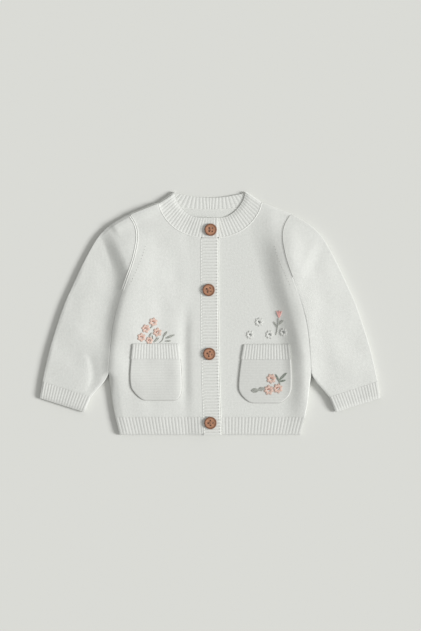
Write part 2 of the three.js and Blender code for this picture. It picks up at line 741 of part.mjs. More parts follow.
function cuff(side) {
  const across = 2 * RIBS.cuff;
  const [outerTop, innerTop, outerLow, innerLow] = mirrored(
    [SLEEVE_END_OUTER, SLEEVE_END_INNER, CUFF_OUTER, CUFF_INNER],
    side,
  ).map(vector);
  const down = outerLow.clone().sub(outerTop).normalize().multiplyScalar(SEAM);
  const line = (a, b, steps) => straight(a, b, steps);
  const rings = [
    [outerTop.clone().add(down), innerTop.clone().add(down)],
    [outerLow, innerLow],
  ].map(([a, b]) => ring(line(a, b, across), line(a, b, 6), true));
  return tube(rings);
}

// Pockets

const DOWN = new THREE.Raycaster();

// Height of a piece's upper face at a point.
function topOf(mesh, x, y) {
  DOWN.set(new THREE.Vector3(x, y, 50), new THREE.Vector3(0, 0, -1));
  return DOWN.intersectObject(mesh)[0].point.z;
}

// Rows of points across a pocket, from its own table.
function pocketPlace(rows, columns) {
  return (i, j) => ({ x: mix(rows[j].arm, rows[j].middle, i / columns), y: rows[j].y });
}

// Cloth laid on a panel, standing off it a little in the middle.
function pocketCloth(panel, place, columns, cloth, rise = () => 0) {
  return (i, j) => {
    const { x, y } = place(i, j);
    const across = i / columns;
    const low = topOf(panel, x, y) + POCKET_GAP + POCKET_BULGE * 4 * across * (1 - across);
    return { outer: [x, y, low + cloth + rise(i, j)], inner: [x, y, low] };
  };
}

function pocketBag(panel, side) {
  const rows = POCKETS[side > 0 ? "left" : "right"].slice(1);
  rows[0] = { ...rows[0], y: rows[0].y - SEAM };
  const columns = 12;
  const place = pocketPlace(rows, columns);
  return wall(columns, rows.length - 1, pocketCloth(panel, place, columns, POCKET_CLOTH));
}

function pocketWelt(panel, side) {
  const rows = POCKETS[side > 0 ? "left" : "right"].slice(0, 2);
  const columns = 2 * RIBS.pocket;
  const place = pocketPlace(rows, columns);
  return wall(columns, 1, pocketCloth(panel, place, columns, POCKET_CLOTH, ribOnColumns));
}

// Buttons: a dished disc with a rounded rim and four holes

const wasm = await Module();
wasm.setup();

function solid(geometry) {
  const bare = geometry.clone();
  bare.deleteAttribute("normal");
  bare.deleteAttribute("uv");
  const merged = mergeVertices(bare, 1e-4);
  const mesh = new wasm.Mesh({
    numProp: 3,
    vertProperties: merged.attributes.position.array,
    triVerts: new Uint32Array(merged.index.array),
  });
  return new wasm.Manifold(mesh);
}

function fromSolid(made) {
  const mesh = made.getMesh();
  const geometry = new THREE.BufferGeometry();
  geometry.setAttribute("position", new THREE.BufferAttribute(new Float32Array(mesh.vertProperties), 3));
  geometry.setIndex(new THREE.BufferAttribute(new Uint32Array(mesh.triVerts), 1));
  geometry.computeVertexNormals();
  return geometry;
}

function buttonGeometry() {
  const { radius, thickness: thick, foot, rim, dish, chamfer } = BUTTON;
  const profile = [
    [0, 0],
    [foot, 0],
    [radius, chamfer],
    [radius, thick - chamfer],
    [radius - chamfer, thick],
    [radius - rim, thick],
    [radius - rim - chamfer, thick - dish],
    [0, thick - dish],
  ].map(([r, z]) => new THREE.Vector2(r, z));
  const disc = new THREE.LatheGeometry(profile, BUTTON_SIDES).rotateX(Math.PI / 2);
  let made = solid(disc);
  for (let k = 0; k < 4; k++) {
    const hole = new THREE.CylinderGeometry(HOLE.radius, HOLE.radius, 3 * thick, HOLE.sides);
    hole.rotateX(Math.PI / 2);
    hole.translate(k < 2 ? HOLE.offset : -HOLE.offset, k % 2 ? HOLE.offset : -HOLE.offset, 0);
    made = made.subtract(solid(hole));
  }
  return fromSolid(made);
}

// The garment

const cardigan = new THREE.Group();

function add(name, geometry, material) {
  const mesh = new THREE.Mesh(geometry, material);
  mesh.name = name;
  cardigan.add(mesh);
  return mesh;
}

add("back", backPanel(), CREAM_KNIT);
add("hem_back", hemBack(), CREAM_RIB);
add("neckband", neckband(), CREAM_RIB);
add("button_band", buttonBand(false), CREAM_RIB);
add("buttonhole_band", buttonBand(true), CREAM_RIB);
for (const [name, side] of [["left", 1], ["right", -1]]) {
  const panel = add(`front_${name}`, frontPanel(side), CREAM_KNIT);
  add(`hem_front_${name}`, hemFront(side), CREAM_RIB);
  add(`sleeve_${name}`, sleeve(side), CREAM_KNIT);
  add(`cuff_${name}`, cuff(side), CREAM_RIB);
  add(`pocket_${name}`, pocketBag(panel, side), CREAM_KNIT);
  add(`pocket_welt_${name}`, pocketWelt(panel, side), CREAM_RIB);
}
BUTTONS.forEach(({ x, y }, i) => {
  const button = add(`button_${i + 1}`, buttonGeometry(), BROWN_BUTTON);
  button.position.set(x, y, OVER_BASE + CLOTH + RIB_RISE + SEAM);
});

export default cardigan;
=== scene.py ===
"""Baby's knitted cardigan, buttoned and laid flat on its back, seen from above.

The garment's outlines are short tables in millimetres, drawn for the wearer's left half and mirrored.
Every piece of cloth is a grid of points in plan, lifted by one height function that is shared by all
pieces, so that neighbours meet at their seams. Meshes are written in metres.
"""

import logging
import math
from dataclasses import dataclass, field
from enum import Enum

import bmesh
import bpy
import numpy as np
from mathutils import Matrix, Vector


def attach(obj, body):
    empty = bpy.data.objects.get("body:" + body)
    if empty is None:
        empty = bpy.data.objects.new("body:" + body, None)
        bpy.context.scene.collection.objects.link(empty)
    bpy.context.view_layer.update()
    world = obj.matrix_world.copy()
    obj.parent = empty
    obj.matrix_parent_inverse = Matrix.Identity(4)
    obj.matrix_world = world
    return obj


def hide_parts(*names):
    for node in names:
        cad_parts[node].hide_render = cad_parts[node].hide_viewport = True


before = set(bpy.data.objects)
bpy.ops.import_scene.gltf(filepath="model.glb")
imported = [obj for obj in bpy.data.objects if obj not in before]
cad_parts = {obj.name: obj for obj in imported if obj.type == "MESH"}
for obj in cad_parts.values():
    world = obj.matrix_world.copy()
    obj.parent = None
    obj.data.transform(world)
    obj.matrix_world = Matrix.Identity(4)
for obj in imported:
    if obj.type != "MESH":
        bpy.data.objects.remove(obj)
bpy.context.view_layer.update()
log = logging.getLogger("cardigan")

MM = 0.001
Array = np.ndarray
Rows = tuple[tuple[float, float], ...]


class Side(Enum):
    """The wearer's side of the garment, as the sign of its x."""

    RIGHT = -1
    LEFT = 1

    @property
    def word(self) -> str:
        """The side's name in lower case."""
        return self.name.lower()


# Curves and grids in plan


def evenly(points: Array, steps: int) -> Array:
    """Put points on a polyline at equal distances along it.

    Args:
        points: The polyline's corners, one row each.
        steps: How many equal lengths to cut it into.

    Returns:
        steps + 1 points. Each coordinate is interpolated on the running length.
    """
    lengths = np.r_[0.0, np.cumsum(np.linalg.norm(np.diff(points, axis=0), axis=1))]
    places = np.linspace(0.0, lengths[-1], steps + 1)
    return np.stack([np.interp(places, lengths, column) for column in points.T], axis=1)


def spline(rows: Array, steps: int) -> Array:
    """Run a smooth curve through points.

    Args:
        rows: Points, one row each.
        steps: How many equal lengths the curve is cut into.

    Returns:
        steps + 1 points. Between two rows the curve is the cubic whose slope at each row is half
        the step from the row before it to the row after it.
    """
    p = np.asarray(rows, float)
    last = len(p) - 1
    t = np.linspace(0, last, 24 * last + 1)
    k = np.minimum(t.astype(int), last - 1)
    w = (t - k)[:, None]
    a, b, c, d = p[np.maximum(k - 1, 0)], p[k], p[k + 1], p[np.minimum(k + 2, last)]
    cubic = 2 * b + (c - a) * w + (2 * a - 5 * b + 4 * c - d) * w**2 + (3 * b - a - 3 * c + d) * w**3
    return evenly(cubic / 2, steps)


def curve(rows: Rows, steps: int, side: Side = Side.LEFT) -> Array:
    """Run a smooth curve through a table for the wearer's left half, or through its mirror image."""
    return spline(np.asarray(rows, float) * (side.value, 1.0), steps)


def chain(*lines: Array) -> Array:
    """Join lines end to end, leaving out the point that each shares with the one before."""
    return np.concatenate([lines[0], *[line[1:] for line in lines[1:]]])


def beside(points: Array, distance: float) -> Array:
    """Move a line sideways, to the left of its direction for a positive distance."""
    along = np.gradient(points, axis=0)
    along /= np.linalg.norm(along, axis=1, keepdims=True)
    return points + distance * np.stack([-along[:, 1], along[:, 0]], axis=1)


def below(line: Array, first: Array, last: Array) -> Array:
    """Space points from first to last as the line over them is spaced across."""
    share = (line[:, 0] - line[0, 0]) / (line[-1, 0] - line[0, 0])
    return first + share[:, None] * (last - first)


def patch(bottom: Array, top: Array, left: Array, right: Array, hold: float = 1.0) -> Array:
    """Fill the space between four lines that meet at their corners.

    Args:
        bottom: The first row of points.
        top: The last row of points.
        left: The first column of points.
        right: The last column of points.
        hold: Power that keeps the bend of a side line close to that side.

    Returns:
        A grid of points, rows by columns. It is ruled straight from bottom to top, and the
        difference between each side line and that ruling is added, faded across by the power.
    """
    u = np.linalg.norm(bottom - bottom[0], axis=1) / np.linalg.norm(bottom[-1] - bottom[0])
    v = np.linspace(0, 1, len(left))[:, None, None]
    ruled = (1 - v) * bottom + v * top
    bend_left = (left - ruled[:, 0])[:, None] * ((1 - u) ** hold)[:, None]
    bend_right = (right - ruled[:, -1])[:, None] * (u**hold)[:, None]
    return ruled + bend_left + bend_right


def away_from(plan: Array, line: Array) -> tuple[Array, Array, Array]:
    """Measure how far points lie from a polyline.

    Args:
        plan: Points, with x and y last.
        line: The polyline's corners.

    Returns:
        The shortest distance, where on the line it is reached, from 0 at its start to 1, and
        whether the point is on the left of the line's direction there.
    """
    flat = plan.reshape(-1, 1, 2)
    start, step = line[:-1], np.diff(line, axis=0)
    t = np.clip(((flat - start) * step).sum(2) / (step**2).sum(1), 0, 1)
    reach = flat - start - t[..., None] * step
    gap = np.linalg.norm(reach, axis=2)
    near = gap.argmin(axis=1)
    pick = np.arange(len(flat)), near
    share = (near + t[pick]) / len(step)
    left = step[near, 0] * reach[pick][:, 1] > step[near, 1] * reach[pick][:, 0]
    shape = plan.shape[:-1]
    return gap[pick].reshape(shape), share.reshape(shape), left.reshape(shape)


def ease(t: Array) -> Array:
    """Rise smoothly from 0 to 1 as t does, level at both ends."""
    t = np.clip(t, 0, 1)
    return t * t * (3 - 2 * t)


# The garment's outline and the height of its cloth


@dataclass(frozen=True)
class Fold:
    """A folded edge of the flattened garment.

    Attributes:
        line: Its line.
        start: Distance at which the cloth starts to rise from it.
        quick: Distance within which it rises at once.
        slow: Distance over which it goes on rising gently.
        held_up: The y over which the edge stands as high as the cloth beside it.
    """

    line: Array
    start: float
    quick: float
    slow: float
    held_up: float = math.inf

    def away(self, plan: Array) -> Array:
        """Distance from the fold, counted longer by 40 mm where it is held up."""
        return away_from(plan, self.line)[0] + 40 * ease((plan[..., 1] - self.held_up) / 26)


@dataclass(frozen=True)
class Outline:
    """Lines of the cardigan from above, for the wearer's left half, in millimetres."""

    hem_y: float = -150.0
    rib_depth: float = 22.0
    seam: float = 0.1
    abut: float = 0.12
    turn: float = 0.95
    neck_corner: tuple[float, float] = (64.4, 136.6)
    neck_peak: tuple[float, float] = (44.7, 150.0)
    shoulder: tuple[float, float] = (100.0, 122.2)
    underarm: tuple[float, float] = (108.6, 26.0)
    cuff_outer: tuple[float, float] = (210.0, -104.6)
    cuff_inner: tuple[float, float] = (155.0, -122.0)
    sleeve_end_outer: tuple[float, float] = (206.6, -84.0)
    sleeve_end_inner: tuple[float, float] = (146.6, -103.2)
    side_rows: Rows = (
        (108.6, 26.0), (114.8, 5.0), (119.7, -17.0), (122.2, -39.0), (124.4, -71.0),
        (122.6, -91.0), (119.6, -114.0), (116.8, -128.0), (111.0, -150.0),
    )  # fmt: skip
    sleeve_rows: Rows = (
        (100.0, 122.2), (118.6, 111.8), (131.0, 101.8), (142.0, 88.0), (156.5, 61.4),
        (168.0, 37.0), (180.4, 8.9), (191.6, -24.3), (199.6, -51.6), (206.6, -84.0),
    )  # fmt: skip
    leaving_rows: Rows = ((124.6, -74.0), (130.2, -84.0), (137.6, -92.6), (146.6, -103.2))
    armhole_rows: Rows = (
        (100.0, 122.2), (92.2, 108.8), (89.8, 92.8), (94.2, 68.0), (103.0, 42.0), (108.6, 26.0),
    )  # fmt: skip
    neck_seam_rows: Rows = (
        (0.0, 92.8), (14.8, 93.8), (28.6, 97.4), (41.5, 103.9), (52.3, 113.6), (60.0, 125.4),
    )  # fmt: skip
    neck_edge_rows: Rows = ((0.0, 117.0), (14.8, 118.0), (24.9, 121.4), (33.8, 128.6), (41.2, 139.6))
    back_seam_rows: Rows = ((0.0, 127.8), (15.0, 128.2), (30.0, 129.4), (48.0, 131.6))
    back_edge_rows: Rows = ((0.0, 142.2), (15.0, 143.0), (29.6, 145.4))

    def body_side(self, side: Side, steps: int) -> Array:
        """The body's side fold from the underarm to the hem."""
        return curve(self.side_rows, steps, side)

    def side_seam(self, side: Side, steps: int) -> Array:
        """The body's side from the top of the hem's ribbing up to the underarm."""
        rows = [row for row in self.side_rows if row[1] >= self.hem_y + self.rib_depth - 1][::-1]
        rows[0] = (rows[0][0], self.hem_y + self.rib_depth + self.seam / 2)
        return curve(rows, steps, side)

    def armhole(self, side: Side, steps: int) -> Array:
        """The armhole's seam from the shoulder to the underarm."""
        return curve(self.armhole_rows, steps, side)

    def sleeve_outer(self, side: Side, steps: int) -> Array:
        """The sleeve's outer fold from the shoulder to the cuff."""
        return curve(self.sleeve_rows, steps, side)

    def sleeve_inner(self, side: Side, steps: int) -> Array:
        """The sleeve's inner fold: beside the body from the underarm, then away from it to the cuff."""
        parting = self.leaving_rows[0]
        rows = [(x + self.abut, y) for x, y in self.side_rows if y > parting[1] + 1]
        rows += [(parting[0] + self.abut, parting[1]), *self.leaving_rows[1:]]
        return curve(rows, steps, side)

    def folds(self, side: Side) -> list[Array]:
        """The four folded edges of one half: neck and shoulder, sleeve outside, body side, sleeve inside."""
        mirror = np.array((side.value, 1.0))
        return [
            np.array([self.neck_peak, self.neck_corner, self.shoulder]) * mirror,
            chain(self.sleeve_outer(side, 28), np.array([self.sleeve_end_outer, self.cuff_outer]) * mirror),
            self.body_side(side, 28),
            chain(self.sleeve_inner(side, 28), np.array([self.sleeve_end_inner, self.cuff_inner]) * mirror),
        ]

    def all_folds(self) -> list[Fold]:
        """Every folded edge. The body and the sleeves hold each other up down to where they part."""
        right, left = self.folds(Side.RIGHT), self.folds(Side.LEFT)
        tube = self.turn
        reach_right = (0.0, tube, 3.0), (tube, 2.0, 60.0), (0.0, 4.0, 10.0, -80.0), (0.0, tube, 1.5, -80.0)
        reach_left = (tube, 3.0, 30.0), (0.0, tube, 46.0), (0.0, 0.15, 0.3, -80.0), (0.0, tube, 1.5, -80.0)
        pairs = [*zip(right, reach_right), *zip(left, reach_left)]
        return [Fold(line, *reach) for line, reach in pairs]

    def open_ends(self) -> list[Array]:
        """The open edges of the hem, of both cuffs and of the neckband in front."""
        hem_x = self.side_rows[-1][0]
        cuffs = [np.array([self.cuff_outer, self.cuff_inner]) * (s.value, 1.0) for s in Side]
        necks = [curve((*self.neck_edge_rows, self.neck_peak), 16, s) for s in Side]
        return [np.array([(-hem_x, self.hem_y), (hem_x, self.hem_y)]), *cuffs, *necks]


@dataclass(frozen=True)
class Crease:
    """A soft ridge in the front layer, or a trough where height is negative.

    Attributes:
        line: Points along it from the top down, in millimetres.
        height: Height at its middle.
        towards_right: Distance towards the wearer's right at which a third of its height is left.
        towards_left: The same towards the wearer's left.
        fade: Share of its length over which each end dies away.
    """

    line: Rows
    height: float
    towards_right: float
    towards_left: float
    fade: float = 0.3

    def lift(self, plan: Array) -> Array:
        """Height that the crease adds: a bell curve of the distance, faded at both ends."""
        away, share, left = away_from(plan, curve(self.line, 24))
        width = np.where(left, self.towards_left, self.towards_right)
        ends = ease(np.minimum(share, 1 - share) / self.fade)
        return self.height * ends * np.exp(-((away / width) ** 2))


CREASES = (
    Crease(
        ((-128, 112), (-118, 96), (-108, 76), (-99, 54), (-99, 35), (-106, 10), (-112, -15), (-115, -39),
         (-117, -64), (-117, -84), (-115, -106)), 4.8, 11.5, 38, 0.18,
    ),
    Crease(((-60, 136), (-80, 126), (-100, 117), (-122, 102)), 1.7, 9, 9, 0.1),
    Crease(((-148, 104), (-139, 90), (-127, 68), (-118, 44), (-120, 20), (-126, -10), (-130, -50)), -1.9, 20, 10, 0.2),
    Crease(
        ((97, 122), (98, 84), (98.7, 60), (101, 36), (110, 10), (113, -15), (114.5, -39), (115, -64), (114, -90),
         (109, -126)), 3.1, 25, 16, 0.2,
    ),
    Crease(
        ((92, 112), (94, 84), (98.7, 60), (101, 36), (110, 10), (113, -15), (115, -39), (118, -64), (122, -90)),
        3.4, 23, 52, 0.26,
    ),
    Crease(((115, -72), (113, -92), (109, -114), (105, -136)), 1.2, 11, 18),
    Crease(((-27, 22), (-29, -20), (-30, -60), (-29, -110), (-28, -134)), -2.0, 8, 6),
    Crease(((-153, -44), (-146, -62), (-145, -82), (-153, -100)), -0.8, 4, 6),
    Crease(((136, 96), (123, 74), (112, 50), (108, 34)), 0.4, 6, 9),
    Crease(((143, 94), (130, 66), (120, 40)), -0.4, 7, 9),
    Crease(((32, -40), (33, -118)), -0.6, 6, 7),
)  # fmt: skip


@dataclass(frozen=True)
class LaidCloth:
    """Heights of the garment's layers over the surface it lies on, in millimetres.

    The front layer stands off the back one. It rises quickly round its folded edges and then
    slowly towards the middle, settles at the open ends, and carries the creases.
    """

    outline: Outline
    thick: float = 2.2
    quick_rise: float = 0.6
    slow_rise: float = 2.0
    slow_power: float = 1.2
    end_settle: float = 0.8
    end_reach: float = 22.0
    edge_radius: float = 0.5
    band_width: float = 20.8
    under_shift: float = 0.9
    over_blend: float = 26.0
    under_blend: float = 30.0
    under_rest: tuple[float, float] = (38.0, 76.0)
    under_rest_y: tuple[float, float] = (93.0, -54.0)
    band_top_y: float = 92.8

    @property
    def base(self) -> float:
        """Underside of cloth that lies straight on the back."""
        return self.thick + self.outline.seam

    @property
    def over_base(self) -> float:
        """Underside of the upper button band."""
        return 2 * self.base

    @property
    def fold_radius(self) -> float:
        """Outside radius of a folded edge."""
        return self.thick + self.outline.seam / 2

    def fold_distance(self, plan: Array) -> Array:
        """Distance to the nearest folded edge that isn't held up."""
        return np.min([fold.away(plan) for fold in self.outline.all_folds()], axis=0)

    def unevenness(self, plan: Array) -> Array:
        """The cloth's own gentle waves: a sum of sines whose lengths and directions are drawn once."""
        draw = np.random.default_rng(11)
        angle, length, start = draw.uniform(0, 2 * math.pi, 18), draw.uniform(16, 60, 18), draw.uniform(0, 6.3, 18)
        along = plan[..., None, 0] * np.cos(angle) + plan[..., None, 1] * np.sin(angle)
        return (np.sin(2 * math.pi * along / length + start) * length).sum(axis=-1) * 0.0011

    def front(self, plan: Array) -> Array:
        """Underside of the front layer and of the sleeves' upper side.

        Args:
            plan: Points, with x and y last.

        Returns:
            Heights: base, plus a quarter round at the folds, plus the slow rise, the creases and
            the unevenness, which all start from nothing at a fold.
        """
        folds = self.outline.all_folds()
        inside = [np.maximum(0.0, fold.away(plan) - fold.start) for fold in folds]
        nearest = np.min([away / fold.quick for away, fold in zip(inside, folds)], axis=0)
        quick = 1 - (1 - np.clip(nearest, 0, 1)) ** 2
        furthest = np.min([away / fold.slow for away, fold in zip(inside, folds)], axis=0)
        slow = 1 - (1 - np.clip(furthest, 0, 1)) ** self.slow_power
        end = np.min([away_from(plan, line)[0] for line in self.outline.open_ends()], axis=0)
        settled = 1 - self.end_settle * np.exp(-end / self.end_reach)
        creases = sum(crease.lift(plan) for crease in CREASES) * np.clip(end / 8, 0, 1) ** 0.5
        rise = (self.quick_rise + slow * self.slow_rise) * settled + creases + self.unevenness(plan)
        return self.base + quick * np.maximum(0.0, rise)

    def band_centre(self, y: Array | float) -> Array | float:
        """The button bands' middle line, which leans to the wearer's left towards the hem."""
        return -0.8 + 4.0 * np.clip((30.0 - y) / 180.0, 0, 1) ** 2

    def over(self, plan: Array) -> Array:
        """Underside of the wearer's right front, which is level under the upper band."""
        away = np.abs(plan[..., 0] - self.band_centre(plan[..., 1])) - self.band_width / 2
        blend = ease(away / self.over_blend)
        return (1 - blend) * self.over_base + blend * self.front(plan)

    def under(self, plan: Array) -> Array:
        """Underside of the wearer's left front, which rests on the back from the band to a slanting line."""
        away = plan[..., 0] - self.band_centre(plan[..., 1]) - self.band_width / 2 - self.under_shift
        rest = np.interp(-plan[..., 1], np.negative(self.under_rest_y), self.under_rest)
        blend = 0.1 * ease(away / rest) + 0.9 * ease((away - rest) / self.under_blend)
        return (1 - blend) * self.base + blend * self.front(plan)

    def of_front(self, side: Side, plan: Array) -> Array:
        """Underside of one front: the right one lies over the left one's band."""
        return self.under(plan) if side is Side.LEFT else self.over(plan)

    def edge_round(self, plan: Array) -> Array:
        """Share of the cloth's thickness that is left: 1 inside, and less where a fold rounds it off."""
        t = np.clip(self.fold_distance(plan) / self.edge_radius, 0, 1)
        return 0.7 + 0.3 * np.sqrt(1 - (1 - t) ** 2)


# Meshes from grids


def quads(ids: Array) -> Array:
    """Corner numbers of the faces of a grid of vertex numbers, one face a row."""
    return np.stack([ids[:-1, :-1], ids[:-1, 1:], ids[1:, 1:], ids[1:, :-1]], axis=-1).reshape(-1, 4)


def raised(plan: Array, height: Array) -> Array:
    """Points in space from points in plan and their heights."""
    return np.concatenate([plan, np.asarray(height)[..., None]], axis=-1)


def write_mesh(name: str, points: Array, faces: Array, uv: Array | None = None) -> bpy.types.Object:
    """Make an object from arrays.

    Args:
        name: The object's name.
        points: Vertices in millimetres.
        faces: Corner numbers of four-sided faces, one face a row.
        uv: For each face's corners, a place on the cloth in millimetres.

    Returns:
        The object, linked to the scene, its faces smooth and pointing outwards.
    """
    a, b, c, d = (points[faces[:, k]] for k in range(4))
    volume = (np.cross(b - a, c - a) * a).sum() + (np.cross(c - a, d - a) * a).sum()
    if volume < 0:
        faces = faces[:, ::-1]
        uv = None if uv is None else uv[:, ::-1]
    mesh = bpy.data.meshes.new(name)
    mesh.vertices.add(len(points))
    mesh.vertices.foreach_set("co", np.ascontiguousarray(points * MM, np.float32).ravel())
    mesh.loops.add(faces.size)
    mesh.loops.foreach_set("vertex_index", np.ascontiguousarray(faces, np.int32).ravel())
    mesh.polygons.add(len(faces))
    mesh.polygons.foreach_set("loop_start", np.arange(0, faces.size, 4, dtype=np.int32))
    mesh.polygons.foreach_set("use_smooth", np.ones(len(faces), bool))
    if uv is not None:
        layer = mesh.uv_layers.new(name="cloth")
        layer.data.foreach_set("uv", np.ascontiguousarray(uv * MM, np.float32).ravel())
    mesh.update(calc_edges=True)
    mesh.validate()
    mesh.set_sharp_from_angle(angle=math.radians(55))
    obj = bpy.data.objects.new(name, mesh)
    bpy.context.scene.collection.objects.link(obj)
    return obj


def walled(name: str, outer: Array, inner: Array, uv: Array, closed: bool = False) -> bpy.types.Object:
    """Make a wall of cloth between two grids of points.

    Args:
        name: The object's name.
        outer: The side that shows, rows by columns.
        inner: The other side, the same size.
        uv: Places on the cloth, the same size, with one column more on a tube.
        closed: Whether the columns go all the way round, as on a tube.

    Returns:
        A closed shell: both grids and a rim along each open edge.
    """
    rows, columns = outer.shape[:2]
    ids = np.arange(rows * columns).reshape(rows, columns)
    places = np.arange(uv.shape[0] * uv.shape[1]).reshape(uv.shape[:2])
    front, back = ids, ids + rows * columns
    if closed:
        front, back = (np.hstack([grid, grid[:, :1]]) for grid in (front, back))
    pairs = [(front, places), (back[:, ::-1], places[:, ::-1])]
    pairs += [(np.stack([back[0], front[0]]), places[[0, 0]]), (np.stack([front[-1], back[-1]]), places[[-1, -1]])]
    if not closed:
        ends = places[:, [0, 0]].T, places[:, [-1, -1]].T
        pairs += [(np.stack([front[:, 0], back[:, 0]]), ends[0]), (np.stack([back[:, -1], front[:, -1]]), ends[1])]
    faces = np.concatenate([quads(grid) for grid, _ in pairs])
    corners = np.concatenate([quads(place) for _, place in pairs])
    points = np.concatenate([outer.reshape(-1, 3), inner.reshape(-1, 3)])
    return write_mesh(name, points, faces, uv.reshape(-1, 2)[corners])


def tube_along(path: Array, radius: Array | float, sides: int = 8, squash: float = 1.0) -> tuple[Array, Array]:
    """Carry a round profile along paths.

    Args:
        path: Points in space, paths by steps by 3, or one path's steps by 3.
        radius: The profile's radius, for all or for each step.
        sides: How many points the profile has.
        squash: The profile's height as a share of its width.

    Returns:
        Vertices and faces. The ring at each step lies across the path's direction, with its
        height towards +Z, and the first and last rings are filled in.
    """
    paths = path[None] if path.ndim == 2 else path
    count, steps = paths.shape[:2]
    along = np.gradient(paths, axis=1)
    along /= np.linalg.norm(along, axis=2, keepdims=True)
    across = np.cross(along, (0.0, 0.0, 1.0))
    across /= np.linalg.norm(across, axis=2, keepdims=True)
    up = np.cross(across, along)
    angle = np.linspace(0, 2 * math.pi, sides, endpoint=False)
    size = np.broadcast_to(radius, (count, steps))[..., None, None]
    ring = across[:, :, None] * np.cos(angle)[:, None] + squash * up[:, :, None] * np.sin(angle)[:, None]
    points = paths[:, :, None] + size * ring
    ids = np.arange(count * steps * sides).reshape(count, steps, sides)
    fan = np.array([(0, k, k + 1, k + 2) for k in range(1, sides - 2, 2)])
    caps = ids[:, 0][:, fan[:, ::-1]].reshape(-1, 4), ids[:, -1][:, fan].reshape(-1, 4)
    ids = np.concatenate([ids, ids[:, :, :1]], axis=2)
    faces = np.concatenate([*[quads(grid) for grid in ids], *caps])
    return points.reshape(-1, 3), faces


def merged(parts: list[tuple[Array, Array]]) -> tuple[Array, Array]:
    """Put the vertices and faces of several tubes together, their faces numbered through."""
    starts = np.cumsum([0, *[len(points) for points, _ in parts]])
    faces = [faces + start for (_, faces), start in zip(parts, starts)]
    return np.concatenate([points for points, _ in parts]), np.concatenate(faces)


# Finishes


class Shader:
    """A material's node tree, with short calls for the nodes that the finishes use."""

    def __init__(self, name: str) -> None:
        """Start a material that has only its shader and output."""
        self.material = bpy.data.materials.new(name)
        self.material.use_nodes = True
        self.nodes = self.material.node_tree.nodes
        self.links = self.material.node_tree.links
        self.surface = self.nodes["Principled BSDF"]

    def put(self, kind: str, inputs: dict | None = None, **settings) -> bpy.types.Node:
        """Add a node.

        Args:
            kind: The node's type, such as ShaderNodeMath.
            inputs: Values or outputs for its sockets, by name or number.
            settings: The node's own properties.

        Returns:
            The node.
        """
        node = self.nodes.new(kind)
        for key, value in settings.items():
            setattr(node, key, value)
        for key, value in (inputs or {}).items():
            if isinstance(value, bpy.types.NodeSocket):
                self.links.new(value, node.inputs[key])
            else:
                node.inputs[key].default_value = value
        return node

    def math(self, operation: str, *values) -> bpy.types.NodeSocket:
        """The output of a Math node on numbers or outputs."""
        return self.put("ShaderNodeMath", dict(enumerate(values)), operation=operation).outputs[0]

    def noise(self, vector: bpy.types.NodeSocket, scale: float, detail: float = 3.0) -> bpy.types.NodeSocket:
        """The value of a Noise node."""
        return self.put("ShaderNodeTexNoise", {"Vector": vector, "Scale": scale, "Detail": detail}).outputs[0]

    def ramp(self, value: bpy.types.NodeSocket, low: tuple, high: tuple) -> bpy.types.NodeSocket:
        """A colour between two colours, by a value from 0 to 1."""
        node = self.put("ShaderNodeMix", {0: value, 6: (*low, 1), 7: (*high, 1)}, data_type="RGBA")
        return node.outputs[2]

    def object_place(self) -> bpy.types.NodeSocket:
        """Object coordinates."""
        return self.put("ShaderNodeTexCoord").outputs["Object"]

    def bump(self, height: bpy.types.NodeSocket, distance: float, strength: float = 1.0) -> None:
        """Turn the surface's normals by a height in metres times distance."""
        node = self.put("ShaderNodeBump", {"Height": height, "Distance": distance, "Strength": strength})
        self.links.new(node.outputs[0], self.surface.inputs["Normal"])

    def colour(self, value: bpy.types.NodeSocket) -> None:
        """Give the surface its colour."""
        self.links.new(value, self.surface.inputs["Base Color"])

    def set(self, **values: float | tuple) -> None:
        """Set the shader's own sockets, with underscores for spaces in their names."""
        for key, value in values.items():
            self.surface.inputs[key.replace("_", " ")].default_value = value


